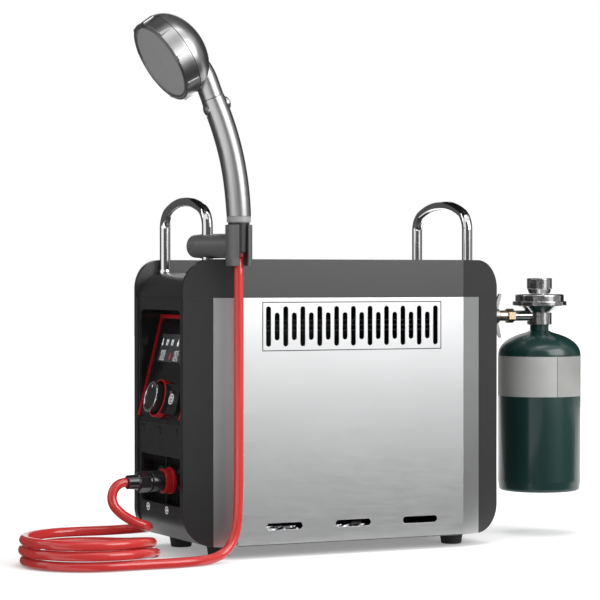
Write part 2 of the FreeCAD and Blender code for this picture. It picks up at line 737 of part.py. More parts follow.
def make_port_sockets():
    """The three dry sockets on one bridge behind the flaps."""
    bridge = block("port_sockets_bridge", (socket_front, socket_front + 8),
                   (port_shifts[0] - S.flap_width / 2, port_shifts[2] + S.flap_width / 2),
                   (port_height - 8, port_height + 8))
    wells = [rod(f"port_sockets_well_{i}", 4, 6, socket_front - 1, shift, port_height, "X")
             for i, shift in enumerate(port_shifts)]
    return cut("port_sockets", bridge, *wells)


node(make_port_sockets())

bay_back = control_face + S.bay_depth


def make_water_bay():
    """Open tub for the two water ports, parted by a low rib."""
    wall = S.tub_wall
    outer = block("water_bay_outer", (control_back, bay_back + wall),
                  (bay_left - wall, bay_right + wall), (bay_low - wall, bay_high + wall))
    hollow = block("water_bay_hollow", (control_back - 1, bay_back), (bay_left, bay_right),
                   (bay_low, bay_high))
    rib_middle = (S.outlet_shift + S.inlet_shift) / 2
    rib = block("water_bay_rib", (bay_back - S.bay_depth / 2, bay_back), (rib_middle - 1, rib_middle + 1),
                (bay_low, bay_high))
    holes = [rod(f"water_bay_hole_{i}", S.spigot_radius + S.fit_gap, wall * 3, bay_back - wall,
                 shift, water_height, "X") for i, shift in enumerate((S.outlet_shift, S.inlet_shift))]
    return cut("water_bay", join("water_bay_tub", cut("water_bay_shell", outer, hollow), rib), *holes)


node(make_water_bay())

bore_radius = S.spigot_radius - 2.5
water_ports = []
for label, shift in (("water_outlet_port", S.outlet_shift), ("water_inlet_port", S.inlet_shift)):
    body = turned(label + "_body", [
        (bore_radius, -S.spigot_length), (S.spigot_radius, -S.spigot_length, 0.8),
        (S.spigot_radius, -S.flange_wall), (S.spigot_flange, -S.flange_wall),
        (S.spigot_flange, 0), (S.spigot_radius, 0), (S.spigot_radius, 22), (bore_radius, 22)],
        x=bay_back, y=shift, z=water_height, turn=TURNS["X"])
    nut = padded(label + "_nut", hexagon(S.port_nut_reach), 5,
                 x=bay_back + S.tub_wall, y=shift, z=water_height, turn=TURNS["X"])
    water_ports.append(join(label, body, nut))
node(group("water_ports", *water_ports))

# quick connector: a red release collar over the spigot and a black body that runs to the hose
spigot_tip = bay_back - S.spigot_length
collar_low = spigot_tip - S.collar_length + 3
node(turned("release_collar", [
    (S.connector_radius - 1.0, 0), (S.collar_radius - S.collar_step, 0, 0.8),
    (S.collar_radius - S.collar_step, S.collar_length - 4), (S.collar_radius, S.collar_length - 4, 0.6),
    (S.collar_radius, S.collar_length, 0.8), (S.connector_radius - 1.0, S.collar_length)],
    x=collar_low - 1, y=S.outlet_shift, z=water_height, turn=TURNS["X"]))

sleeve = S.connector_radius - 1.0 - S.soft_gap
connector_start = collar_low - 3.2
connector_tail = connector_start - S.connector_length
nut_start = connector_start - 25
node(join("quick_connector", turned("quick_connector_sleeve", [
    (S.spigot_radius + S.soft_gap, 0), (sleeve, 0), (sleeve, S.collar_length + 0.5),
    (S.spigot_radius + S.soft_gap, S.collar_length + 0.5)],
    x=connector_start, y=S.outlet_shift, z=water_height, turn=TURNS["X"]),
    turned("quick_connector_body", [
        (0, 0.0), (S.connector_radius, 0.0, 0.8), (S.connector_radius, 11, 0.8),
        (S.connector_radius - 2, 12), (S.connector_radius - 2, 26), (S.tail_radius + 0.8, 27),
        (S.tail_radius, S.connector_length, 1), (0, S.connector_length)],
        x=connector_start, y=S.outlet_shift, z=water_height, turn=TURNS["-X"]),
    padded("quick_connector_hex", hexagon(S.hex_reach), S.hex_length, x=nut_start, y=S.outlet_shift,
           z=water_height, turn=TURNS["X"])))


# ---------------------------------------------------------------- handles and holder

leg_across = S.handle_spread / 2
handle_crown = casing_high + S.handle_rise - S.handle_tube / 2
handle_foot = spine_top - S.handle_sink


flange_reach = S.trough_width / 2 - leg_across - S.fit_gap
FLANGE_SECTION = [(S.handle_tube / 2 - 1, 0), (flange_reach, 0), (flange_reach, 1.4),
                  (S.handle_tube / 2 + 0.2, 4), (S.handle_tube / 2 - 1, 4)]


def make_handle(label, along):
    """Chrome tube bent to a flat arch across the casing."""
    body = doc.addObject("PartDesign::Body", label + "_tube")
    spine = body_sketch(body, label + "_spine", "YZ_Plane", [
        (-leg_across, handle_foot), (-leg_across, handle_crown - S.crown_drop, S.handle_bend),
        (-S.crown_half, handle_crown, S.crown_bend), (S.crown_half, handle_crown, S.crown_bend),
        (leg_across, handle_crown - S.crown_drop, S.handle_bend), (leg_across, handle_foot)],
        closed=False)
    ring = body.newObject("Sketcher::SketchObject", label + "_section")
    ring.AttachmentSupport = [(origin_plane(body, "XY_Plane"), "")]
    ring.MapMode = "FlatFace"
    bind(ring, "AttachmentOffset.Base.z", handle_foot)
    circle = ring.addGeometry(Part.Circle(FreeCAD.Vector(0, -leg_across.number, 0),
                                          FreeCAD.Vector(0, 0, 1), S.handle_tube.number / 2))
    fix_point(ring, circle, 3, 0, -leg_across)
    number = ring.addConstraint(Sketcher.Constraint("Radius", circle, S.handle_tube.number / 2))
    ring.setExpression(f"Constraints[{number}]", (S.handle_tube / 2).text)
    doc.recompute()
    pipe = body.newObject("PartDesign::AdditivePipe", label + "_pipe")
    pipe.Profile = ring
    pipe.Spine = (spine, [])
    body.Tip = pipe
    flanges = [turned(f"{label}_flange_{side + 2}", FLANGE_SECTION, along, leg_across * side, spine_top)
               for side in (-1, 1)]
    return join(label, place(body, x=along), *flanges)


node(make_handle("handle_left", -handle_along))
node(make_handle("handle_right", handle_along))

nut_seat = spine_top - S.cover_wall - S.handle_nut_drop - S.handle_nut_height
node(group("handle_nuts", *[
    cut(f"handle_nut_{i}{j}", padded(f"handle_nut_hex_{i}{j}", hexagon(S.handle_nut_reach),
                                     S.handle_nut_height, handle_along * i, leg_across * j, nut_seat),
        rod(f"handle_nut_bore_{i}{j}", S.handle_tube / 2 + 0.02, S.handle_nut_height + 2,
            handle_along * i, leg_across * j, nut_seat - 1))
    for i in (-1, 1) for j in (-1, 1)]))

leg_x = -handle_along
leg_y = -leg_across
barrel_height = casing_high + S.barrel_rise
cradle_low = barrel_height - S.cradle_drop
cradle_high = cradle_low + S.cradle_height
tail_low = barrel_height - S.tail_drop
grip_low = barrel_height + S.grip_rise
reach_x = sin_of(S.barrel_swing)
reach_y = -cos_of(S.barrel_swing)
cradle_x = leg_x + reach_x * S.barrel_reach
cradle_y = leg_y + reach_y * S.barrel_reach


def along_barrel(item, distance):
    """Lay a piece that was built up Z along the barrel, a distance out from the handle leg."""
    place(item, leg_x + reach_x * distance, leg_y + reach_y * distance, barrel_height,
          FreeCAD.Rotation(FreeCAD.Vector(1, 0, 0), QUARTER))
    swing = FreeCAD.Rotation(FreeCAD.Vector(0, 0, 1), S.barrel_swing.number)
    item.Placement.Rotation = swing.multiply(FreeCAD.Rotation(FreeCAD.Vector(1, 0, 0), QUARTER))
    return item


barrel_front = S.barrel_reach - S.cradle_radius - S.soft_gap


def make_bracket():
    """Barrel clamped on the handle leg, with the screw hole at its back."""
    barrel = along_barrel(turned("bracket_barrel", [
        (0, 0), (S.barrel_radius, 0, 1), (S.barrel_radius, barrel_front + S.knob_joint, 1),
        (0, barrel_front + S.knob_joint)]), -S.knob_joint)
    leg = rod("bracket_leg_hole", S.handle_tube / 2 + 0.02, S.barrel_radius * 3,
              leg_x, leg_y, barrel_height - S.barrel_radius * 1.5)
    screw = along_barrel(rod("bracket_screw_hole", S.screw_radius + S.shaft_clearance,
                             S.knob_joint + 1, 0, 0, 0), -S.knob_joint - 1)
    return cut("bracket_body", barrel, leg, screw)


node(make_bracket())
knob_length = S.barrel_back - S.knob_joint - S.knob_gap


def make_bracket_knob():
    """Clamp knob behind the handle leg: fluted grip and a short screw."""
    grip = along_barrel(turned("bracket_knob_grip", [
        (0, 0), (S.barrel_radius - 1, 0, 3), (S.barrel_radius - 0.3, knob_length, 1),
        (0, knob_length)]), -S.barrel_back)
    flutes = []
    for index in range(8):
        angle = as_size(45.0 * index)
        flute = rod(f"bracket_knob_flute_{index}", 2.2, knob_length - 3, 0, 0, 0)
        side = (S.barrel_radius + 1) * cos_of(angle)
        rise = (S.barrel_radius + 1) * sin_of(angle)
        along_barrel(flute, -S.barrel_back - 1)
        bind(flute, "Placement.Base.x", leg_x - reach_x * (S.barrel_back + 1) - reach_y * side)
        bind(flute, "Placement.Base.y", leg_y - reach_y * (S.barrel_back + 1) + reach_x * side)
        bind(flute, "Placement.Base.z", barrel_height + rise)
        flutes.append(flute)
    screw_start = S.knob_joint + S.knob_gap + 1
    screw = along_barrel(rod("bracket_knob_screw", S.screw_radius,
                             screw_start - S.handle_tube / 2 - S.soft_gap, 0, 0, 0), -screw_start)
    return join("bracket_knob", cut("bracket_knob_fluted", grip, *flutes), screw)


node(make_bracket_knob())


def make_cradle():
    """C-shaped holder, split at the front to let the hose pass, with a tapered seat."""
    tall = cradle_high - cradle_low
    inner = S.cradle_radius - S.cradle_wall
    ring = turned("cradle_ring", [
        (inner - 0.9, 0), (S.cradle_radius - 1, 0, 0.6), (S.cradle_radius, 8),
        (S.cradle_radius, tall, 0.8), (inner + 0.1, tall)], cradle_x, cradle_y, cradle_low)
    slot = block("cradle_slot_gap", (cradle_x - S.cradle_slot / 2, cradle_x + S.cradle_slot / 2),
                 (cradle_y - S.cradle_radius * 2, cradle_y), (cradle_low - 1, cradle_high + 1))
    return cut("cradle", ring, slot)


node(make_cradle())


# ---------------------------------------------------------------- hand shower

shower_y = cradle_y
hose_bore = S.hose_diameter / 2 + S.shaft_clearance
tail_top = grip_low - S.foot_ring_height
tail_length = tail_top - tail_low
ring_radius = S.grip_radius - 0.3
node(turned("handset_collar", [
    (hose_bore, 0), (S.tail_low_radius, 0, 1), (S.tail_top_radius, tail_length),
    (ring_radius, tail_length, 1), (ring_radius, tail_length + S.foot_ring_height, 0.6),
    (0, tail_length + S.foot_ring_height), (0, tail_length), (hose_bore, tail_length)],
    cradle_x, shower_y, tail_low))

# centreline of the grip above the foot ring: sideways offset, rise, radius against the
# grip's own, lean from upright
GRIP_LINE = [(0.0, 0.0, 0.989, 0.0), (-4.4, 43.0, 1.004, 9.0), (-12.2, 77.0, 1.004, 15.5),
             (-20.7, 102.0, 1.004, 20.5), (-30.8, 126.0, 0.955, 24.0)]
NECK_LINE = [(-31.0, 126.5, 0.945, 24.0), (-36.5, 140.0, 0.95, 23.0), (-43.0, 153.5, 0.93, 26.0),
             (-54.0, 166.0, 0.80, 45.0)]


def station(label, shift, rise, share, tilt):
    """Circle across the grip at one station of its centreline."""
    item = doc.addObject("Part::Circle", label)
    bind(item, "Radius", S.grip_radius * share)
    place(item, cradle_x + shift, shower_y, grip_low + rise,
          FreeCAD.Rotation(FreeCAD.Vector(0, 1, 0), -tilt))
    return item


def lofted(label, line):
    """Solid through round stations."""
    item = doc.addObject("Part::Loft", label)
    item.Sections = [station(f"{label}_station_{i}", *row) for i, row in enumerate(line)]
    item.Solid = True
    item.Ruled = False
    return item


def make_grip():
    """Curved grip with the cross bore for the pause button."""
    start_x = cradle_x + S.pause_shift
    tilt = FreeCAD.Rotation(FreeCAD.Vector(0, 1, 0), QUARTER - S.pause_tilt.number)
    half = S.grip_radius * 2
    bore = place(rod("handset_grip_bore", S.pause_radius + S.pause_clearance, half * 2, 0, 0, 0),
                 start_x - half * cos_of(S.pause_tilt), shower_y,
                 (barrel_height + S.pause_rise) - half * sin_of(S.pause_tilt), tilt)
    return cut("handset_grip", lofted("handset_grip_body", GRIP_LINE), bore)


node(make_grip())
pause_half = S.pause_length / 2
node(place(turned("pause_button", [
    (0, -pause_half), (S.pause_radius * 0.55, -pause_half + 0.5), (S.pause_radius - 0.6, -pause_half + 1.8),
    (S.pause_radius, -pause_half + 3), (S.pause_radius, pause_half - 3),
    (S.pause_radius - 0.6, pause_half - 1.8), (S.pause_radius * 0.55, pause_half - 0.5),
    (0, pause_half)]), cradle_x + S.pause_shift, shower_y, (barrel_height + S.pause_rise),
    FreeCAD.Rotation(FreeCAD.Vector(0, 1, 0), QUARTER - S.pause_tilt.number)))

face_x = cradle_x + S.head_shift
spray = FreeCAD.Rotation(FreeCAD.Vector(0, 1, 0), QUARTER - S.head_tilt.number)


def on_head(item, lift=0):
    """Put a turned piece on the head's axis, measured from the spray face into the dome."""
    return place(item, face_x + lift * cos_of(S.head_tilt), shower_y,
                 (barrel_height + S.head_rise) + lift * sin_of(S.head_tilt), spray)


def oval_line(across, start, along, angles):
    """Points on a quarter of an oval, each with the corner arc that follows its curve."""
    points = []
    for angle in angles:
        turn = math.radians(angle)
        bend = math.hypot(across.number * math.sin(turn), along.number * math.cos(turn)) ** 3
        points.append((across * math.cos(turn), start + along * math.sin(turn),
                       round(0.8 * bend / (across.number * along.number), 2)))
    return points


def make_head():
    """Round head: straight rim, domed back and the neck that meets the grip."""
    rim = S.head_radius
    dome = oval_line(rim, S.head_rim, S.head_dome, (0, 12, 24, 36, 48, 60, 72, 82))
    bowl = on_head(turned("handset_head_bowl", [(0, S.face_inset + 2), (rim - 3, S.face_inset + 2),
                                                (rim - 3, 0.6), (rim - 0.8, 0.6, 0.5)] + dome
                          + [(0, S.head_rim + S.head_dome)]))
    return join("handset_head", bowl, lofted("handset_head_neck", NECK_LINE))


node(make_head())
node(on_head(turned("face_ring", [
    (S.head_radius - 6, S.face_inset), (S.head_radius - 6, 0, 0.5), (S.head_radius - 3.2, 0, 0.5),
    (S.head_radius - 3.2, S.face_inset + 1.8), (S.head_radius - 6, S.face_inset + 1.8)])))
node(on_head(turned("spray_face", [
    (0, S.face_inset - 1.2), (S.head_radius - 6.2, S.face_inset - 0.6),
    (S.head_radius - 6.2, S.face_inset + 1.8), (0, S.face_inset + 1.8)])))


# ---------------------------------------------------------------- hose

def tube(label, route, diameter):
    """Straight runs joined by tangent arcs, each as large as its two runs allow."""
    points = [FreeCAD.Vector(*p) for p in route]
    edges = []
    length = 0.0
    radii = []
    start = points[0]
    for before, here, after in zip(points, points[1:], points[2:]):
        back = before - here
        ahead = after - here
        turn = math.pi - back.getAngle(ahead)
        run = 0.45 * min(back.Length, ahead.Length)
        radius = run / math.tan(turn / 2)
        back.normalize()
        ahead.normalize()
        first = here + back * run
        last = here + ahead * run
        centre = here + (back + ahead).normalize() * (radius / math.cos(turn / 2))
        middle = centre + (here - centre).normalize() * radius
        edges.append(Part.LineSegment(start, first).toShape())
        edges.append(Part.Arc(first, middle, last).toShape())
        length += (first - start).Length + radius * turn
        radii.append(round(radius, 1))
        start = last
    edges.append(Part.LineSegment(start, points[-1]).toShape())
    length += (points[-1] - start).Length
    path = Part.Wire(edges)
    heading = points[1] - points[0]
    section = Part.Wire([Part.Circle(points[0], heading, diameter / 2).toShape()])
    solid = path.makePipeShell([section], True, False)
    item = doc.addObject("Part::Feature", label)
    item.Shape = solid
    item.Placement = FreeCAD.Placement()
    ratio = solid.Volume / (math.pi * diameter ** 2 / 4 * length)
    print(label, "length", round(length, 1), "radii", radii, "volume ratio", round(ratio, 4))
    return item


hose = S.hose_diameter.number
tail_end = (connector_tail.number, S.outlet_shift.number, water_height.number)
nut_low = tail_low - S.hose_nut_length
hose_top = nut_low - S.hose_play
coil_x = connector_tail - 56.8
coil_y = S.outlet_shift - 35.7
# the lead, as steps from the connector's tail: it folds over and drops on to the coil
LEAD_STEPS = [(0.0, 0.0, 0.0), (-12.3, -0.5, 0.2), (-23.3, -2.2, -6.5), (-25.3, -4.2, -20.0),
              (-16.8, -6.7, -33.0), (-4.3, -9.7, -43.0), (7.2, -12.7, -50.5)]
# the run along the floor, from the middle of the coil, and the rise under the cradle
FLOOR_STEPS = [(19.0, -68.4, 5.3), (45.0, -68.6, 5.3), (71.0, -69.6, 5.3)]
RISE_STEPS = [(-56.7, -18.5, 5.3), (-34.7, -10.0, 5.6), (-16.7, -3.6, 11.0), (-4.2, -0.6, 27.0),
              (-0.4, 0.0, 54.0), (0.0, 0.0, hose_top.number)]
LEAD_ROUTE = [(tail_end[0] + x, tail_end[1] + y, tail_end[2] + z) for x, y, z in LEAD_STEPS]
RISER_ROUTE = [(coil_x.number + x, coil_y.number + y, z) for x, y, z in FLOOR_STEPS]
RISER_ROUTE += [(cradle_x.number + x, shower_y.number + y, z) for x, y, z in RISE_STEPS]
node(tube("hose_lead", LEAD_ROUTE, hose))
node(tube("hose_riser", RISER_ROUTE, hose))
coil_inside = S.coil_radius - S.coil_band / 2
coil_outside = S.coil_radius + S.coil_band / 2
node(turned("hose_coil", [(coil_inside, 0, 5), (coil_outside, 0, 5), (coil_outside, S.coil_height, 5),
                          (coil_inside, S.coil_height, 5)], coil_x, coil_y, 0))
node(turned("hose_nut", [
    (hose_bore, 0), (hose_bore + S.hose_nut_wall, 0, 1), (hose_bore + S.hose_nut_wall, S.hose_nut_length),
    (hose_bore, S.hose_nut_length)], cradle_x, shower_y, nut_low))


# ---------------------------------------------------------------- gas end

gas_face = spine_end
gas_back = gas_face - S.plate_wall
gas_height = casing_high - S.gas_drop
node(cut("gas_end_panel", end_prism("gas_end_blank", [
    (-plate_half, pan_high), (plate_half, pan_high), (plate_half, seam), (-plate_half, seam)],
    gas_back, gas_face),
    rod("gas_end_hole", 7 + S.fit_gap, 10, gas_back - 3, 0, gas_height, "X")))

stub_tip = gas_face + S.stub_length
node(turned("gas_inlet_fitting", [
    (2.5, -20), (7, -20), (7, 0), (10.5, 0), (10.5, 2.5), (S.stub_radius, 2.5),
    (S.stub_radius, S.stub_length, 0.8), (2.5, S.stub_length)],
    x=gas_face, z=gas_height, turn=TURNS["X"]))

wing_start = gas_face + S.wing_nut_reach


def make_wing_nut():
    """Wing nut that draws the gas line on to the inlet: round hub and two leaf wings."""
    hub = turned("wing_nut_hub", [
        (S.stub_radius + S.nut_gap, 0), (S.wing_nut_radius, 0, 1), (S.wing_nut_radius, S.wing_nut_length, 1),
        (S.stub_radius + S.nut_gap, S.wing_nut_length)], x=wing_start, z=gas_height, turn=TURNS["X"])
    wings = []
    for side in (-1, 1):
        outline = [(wing_start + 1, gas_height + S.wing_nut_radius * 0.85 * side),
                   (wing_start + S.wing_nut_length, gas_height + S.wing_nut_radius * 0.85 * side),
                   (wing_start + S.wing_nut_length + 5, gas_height + S.wing_span / 2 * side, 1.2),
                   (wing_start + S.wing_nut_length + 2, gas_height + S.wing_span / 2 * side, 1.2)]
        if side < 0:
            outline.reverse()
        wings.append(side_prism(f"wing_nut_leaf_{side + 2}", outline, -S.wing_wall, S.wing_wall))
    return join("wing_nut", hub, *wings)


node(make_wing_nut())
union_start = stub_tip + 0.6
node(cut("union_nut", padded("union_nut_hex", hexagon(S.union_radius), S.union_length,
    x=union_start, z=gas_height, turn=TURNS["X"]),
    rod("union_nut_bore", S.gas_tube / 2 + 0.06, S.union_length * 2,
        union_start - 2, 0, gas_height, "X")))
cylinder_x = gas_face + S.cylinder_reach
regulator_side = cylinder_x - S.regulator_radius
node(turned("outlet_tube", [
    (2, 0), (S.gas_tube / 2, 0), (S.gas_tube / 2, regulator_side - stub_tip + 2),
    (2, regulator_side - stub_tip + 2)],
    x=stub_tip, z=gas_height, turn=TURNS["X"]))

cylinder_low = gas_height - S.cylinder_drop
regulator_low = gas_height - S.regulator_drop
neck_top = S.cylinder_drop - S.regulator_drop


def shell_line(inset):
    """Half section of the cylinder's outside, drawn in by the inset."""
    wide = S.cylinder_radius - inset
    return [(38, inset, 2), (wide - 1.5, inset, 4), (wide, 12, 6)] + oval_line(
        wide, S.shoulder_height, S.cylinder_height - S.shoulder_height - inset,
        (0, 12, 24, 36, 48, 60, 70))


def make_cylinder():
    """Drawn steel cylinder: a dished foot, round shoulder and a neck with the valve's bore."""
    outside = turned("cylinder_outside", [(0, 4), (30, 2.5)] + shell_line(as_size(0)) + [
        (S.neck_radius, S.cylinder_height + 1), (S.neck_radius, neck_top), (0, neck_top)],
        cylinder_x, 0, cylinder_low)
    wall = S.cylinder_wall
    inside = turned("cylinder_inside", [(0, wall + 4), (30, wall + 2.5)] + shell_line(wall) + [
        (S.valve_bore, S.cylinder_height - wall), (S.valve_bore, neck_top + 1), (0, neck_top + 1)],
        cylinder_x, 0, cylinder_low)
    return cut("cylinder", outside, inside)


node(make_cylinder())
flange_top = S.bonnet_seat
node(cut("regulator_body", turned("regulator_body_turned", [
    (0, 0), (S.regulator_radius, 0, 0.8), (S.regulator_radius, S.waist_height - 3),
    (S.flange_radius - 5, S.flange_height),
    (S.flange_radius, S.flange_height, 1), (S.flange_radius, flange_top, 1), (0, flange_top)],
    cylinder_x, 0, regulator_low),
    rod("regulator_body_port", S.gas_tube / 2 + 0.02, 8.5, regulator_side - 6, 0, gas_height, "X")))
bonnet_low = regulator_low + S.bonnet_seat
dial_low = gas_height + S.dial_rise
stem_top = dial_low - bonnet_low - S.soft_gap
node(turned("regulator_bonnet", [
    (0, 0), (S.bonnet_radius, 0), (S.bonnet_radius, S.bonnet_height, 2),
    (S.stem_radius, S.bonnet_height), (S.stem_radius, stem_top), (0, stem_top)],
    cylinder_x, 0, bonnet_low))


def make_regulator_dial():
    """Smooth regulator hand dial on a tapered foot, with a flat pocket for the pointer."""
    tall = S.dial_height
    blank = turned("regulator_dial_blank", [
        (0, 0), (S.dial_foot_radius, 0, 0.6), (S.dial_radius, S.dial_taper, 2),
        (S.dial_radius, tall, 1.2), (0, tall)])
    seat = S.dial_radius - S.pocket_depth
    pocket = place(block("regulator_dial_pocket", (0, S.pocket_depth * 2), (0, S.pocket_half * 2),
                         (0, tall - S.dial_taper - 2)),
                   seat * cos_of(S.pocket_turn) + S.pocket_half * sin_of(S.pocket_turn),
                   seat * sin_of(S.pocket_turn) - S.pocket_half * cos_of(S.pocket_turn),
                   S.dial_taper + 0.4, FreeCAD.Rotation(FreeCAD.Vector(0, 0, 1), S.pocket_turn.number))
    return place(cut("regulator_dial", blank, pocket), cylinder_x, 0, dial_low)


node(make_regulator_dial())


# ---------------------------------------------------------------- works inside

pan_floor = casing_low + S.plate_wall
chamber_half = half_length - S.works_room
chamber_deep = S.chamber_depth / 2


def box_shell(label, x, y, z, wall, *open_sides):
    """Box with a wall thickness, open at its top and bottom."""
    outer = block(label + "_outer", x, y, z)
    inner = block(label + "_inner", (x[0] + wall, x[1] - wall), (y[0] + wall, y[1] - wall),
                  (as_size(z[0]) - 1, as_size(z[1]) + 1))
    return cut(label, outer, inner, *open_sides)


exchanger_high = grille_height - S.hood_below
chamber_high = exchanger_high - S.exchanger_height
flue_high = grille_height + S.hood_above
span = (-chamber_half, chamber_half)
deep = (-chamber_deep, chamber_deep)
legs = [block(f"combustion_chamber_leg_{i}{j}",
              (chamber_half * i - S.mount_leg / 2 * (i + 1), chamber_half * i - S.mount_leg / 2 * (i - 1)),
              (chamber_deep * j - S.mount_leg / 2 * (j + 1), chamber_deep * j - S.mount_leg / 2 * (j - 1)),
              (pan_floor, S.chamber_low)) for i in (-1, 1) for j in (-1, 1)]
node(join("combustion_chamber", box_shell("combustion_chamber_box", span, deep,
                                          (S.chamber_low, chamber_high), 1.5), *legs))


def make_exchanger():
    """Copper fins in a frame, with two water tubes through them."""
    core = block("heat_exchanger_core", span, deep, (chamber_high, exchanger_high))
    fin_pitch = chamber_half * 2 / 25
    gap_half = (fin_pitch - S.fin_wall) / 2
    gaps = [block(f"heat_exchanger_gap_{i + 12}", (fin_pitch * i - gap_half, fin_pitch * i + gap_half),
                  (-chamber_deep + S.fin_wall, chamber_deep - S.fin_wall),
                  (chamber_high - 1, exchanger_high + 1))
            for i in range(-11, 12)]
    tubes = [rod(f"heat_exchanger_tube_{i}", 6, chamber_half * 2 + 28, -chamber_half - 14,
                 y, (chamber_high + exchanger_high) / 2, "X")
             for i, y in enumerate((-25, 25))]
    return join("heat_exchanger", cut("heat_exchanger_fins", core, *gaps), *tubes)


node(make_exchanger())


def make_flue():
    """Hood over the exchanger that turns the hot air out through the grille."""
    front = -(face_depth - S.cover_wall * 2 - 2)
    wide = S.slot_pitch * 10 + S.slot_width
    hood = block("flue_hood_outer", (-wide, wide), (front, chamber_deep), (exchanger_high, flue_high))
    inside = block("flue_hood_inner", (-wide + S.hood_wall, wide - S.hood_wall),
                   (front - 1, chamber_deep - S.hood_wall),
                   (exchanger_high + S.hood_wall, flue_high - S.hood_wall))
    throat = block("flue_hood_throat", (-chamber_half + 2, chamber_half - 2),
                   (-chamber_deep + 2, chamber_deep - 2), (exchanger_high - 1, exchanger_high + 3))
    louvres = [block(f"flue_hood_louvre_{i + 2}", (-wide + 1, wide - 1), (front + 2, front + 20),
                     (grille_height + S.louvre_pitch * i,
                      grille_height + S.louvre_pitch * i + S.louvre_wall)) for i in (-1, 0, 1)]
    return join("flue_hood", cut("flue_hood_box", hood, inside, throat), *louvres)


node(make_flue())

burner_half = chamber_half - 6


def make_burner():
    """Burner tray with its row of slotted bars, on its own two brackets."""
    tray = block("burner_tray", (-burner_half, burner_half), (-30, 30), (S.burner_low, S.burner_low + 6))
    bar_pitch = burner_half / 5.5
    bars = [block(f"burner_bar_{i + 5}", (bar_pitch * i - 2.5, bar_pitch * i + 2.5), (-28, 28),
                  (S.burner_low + 6, S.burner_low + S.burner_height)) for i in range(-5, 6)]
    feet = [block(f"burner_foot_{i}", (x, x + 6), (-30, 30), (pan_floor, S.burner_low))
            for i, x in enumerate((-burner_half, burner_half - 6))]
    return join("burner", tray, *bars, *feet)


node(make_burner())
valve_x = gas_face - S.valve_room
valve_top = pan_floor + S.valve_length
node(join("gas_valve", block("gas_valve_body", (valve_x, valve_x + S.valve_length), (-18, 18),
                             (pan_floor, valve_top)),
          rod("gas_valve_coil", 9, 16, valve_x + 12, 0, valve_top),
          rod("gas_valve_inlet", 5, 4, valve_x + 30, 0, valve_top),
          rod("gas_valve_outlet", 5, valve_x - burner_half - 0.3, burner_half + 0.3, 0, pan_floor + 14, "X")))


def bent_pipe(label, route, diameter, bend):
    """Pipe along a route with one bend radius."""
    points = [FreeCAD.Vector(*[as_size(v).number for v in p]) for p in route]
    edges = []
    start = points[0]
    for before, here, after in zip(points, points[1:], points[2:]):
        back = (before - here).normalize()
        ahead = (after - here).normalize()
        half_angle = back.getAngle(ahead) / 2
        reach = bend / math.tan(half_angle)
        centre = here + (back + ahead).normalize() * (bend / math.sin(half_angle))
        edges.append(Part.LineSegment(start, here + back * reach).toShape())
        edges.append(Part.Arc(here + back * reach, centre + (here - centre).normalize() * bend,
                              here + ahead * reach).toShape())
        start = here + ahead * reach
    edges.append(Part.LineSegment(start, points[-1]).toShape())
    section = Part.Wire([Part.Circle(points[0], points[1] - points[0], diameter / 2).toShape()])
    item = doc.addObject("Part::Feature", label)
    item.Shape = Part.Wire(edges).makePipeShell([section], True, False)
    item.Placement = FreeCAD.Placement()
    return item


inlet_end = gas_face - 20
node(bent_pipe("gas_pipe", [(inlet_end, 0, gas_height), (valve_x + 30, 0, gas_height),
                            (valve_x + 30, 0, valve_top + 4)], 8, 12))
port_inner = bay_back + 22
bend_z = (chamber_high + exchanger_high) / 2
outlet_pipe = bent_pipe("outlet_pipe", [(port_inner, S.outlet_shift, water_height),
                                        (-chamber_half - 30, S.outlet_shift, water_height),
                                        (-chamber_half - 30, -25, bend_z),
                                        (-chamber_half - 14, -25, bend_z)], 10, 10)
pump_x = bay_back + S.pump_room
node(join("water_pump", rod("water_pump_motor", 16, 28, pump_x + 12, S.inlet_shift, pan_floor + 16, "X"),
          block("water_pump_head", (pump_x - 6, pump_x + 12), (S.inlet_shift - 18, S.inlet_shift + 18),
                (pan_floor, pan_floor + 36))))
inlet_pipe = bent_pipe("inlet_pipe", [(port_inner, S.inlet_shift, water_height),
                                      (pump_x + 3, S.inlet_shift, water_height),
                                      (pump_x + 3, S.inlet_shift, pan_floor + 36)], 10, 10)
pump_pipe = bent_pipe("pump_pipe", [(pump_x + 40, S.inlet_shift, pan_floor + 16),
                                    (-chamber_half - 7, S.inlet_shift, pan_floor + 16),
                                    (-chamber_half - 7, S.inlet_shift, bend_z - 7)], 8, 9)
node(group("water_pipes", outlet_pipe, inlet_pipe, pump_pipe))
board_seat = header_face + S.tub_wall
board_posts = [rod(f"control_board_post_{i + 2}", 3, 5, board_seat, 40 * i, console_high - 5, "X")
               for i in (-1, 1)]
node(join("control_board", block("control_board_plate", (board_seat + 5, board_seat + 7), (-50, 50),
                                 (console_low, console_high)), *board_posts))
node(block("battery_pack", (-chamber_half + 25, chamber_half - 25), (32, 58), (pan_floor, pan_floor + 30)))


# ---------------------------------------------------------------- checks and files

doc.recompute()
for item in doc.Objects:
    if "Invalid" in item.State or "Error" in item.State:
        raise RuntimeError(f"{item.Name} is {item.State}")
for item in nodes:
    if item.Shape.isNull() or not item.Shape.isValid() or not item.Shape.Solids:
        raise RuntimeError(f"{item.Label} has no valid shape")
labels = [item.Label for item in nodes]
if len(set(labels)) != len(labels):
    raise RuntimeError("two pieces share a label")
os.makedirs("parts", exist_ok=True)
for item in nodes:
    item.Shape.exportStep(f"parts/{item.Label}.step")
print(len(nodes), "pieces,", sum(len(item.Shape.Solids) for item in nodes), "solids")
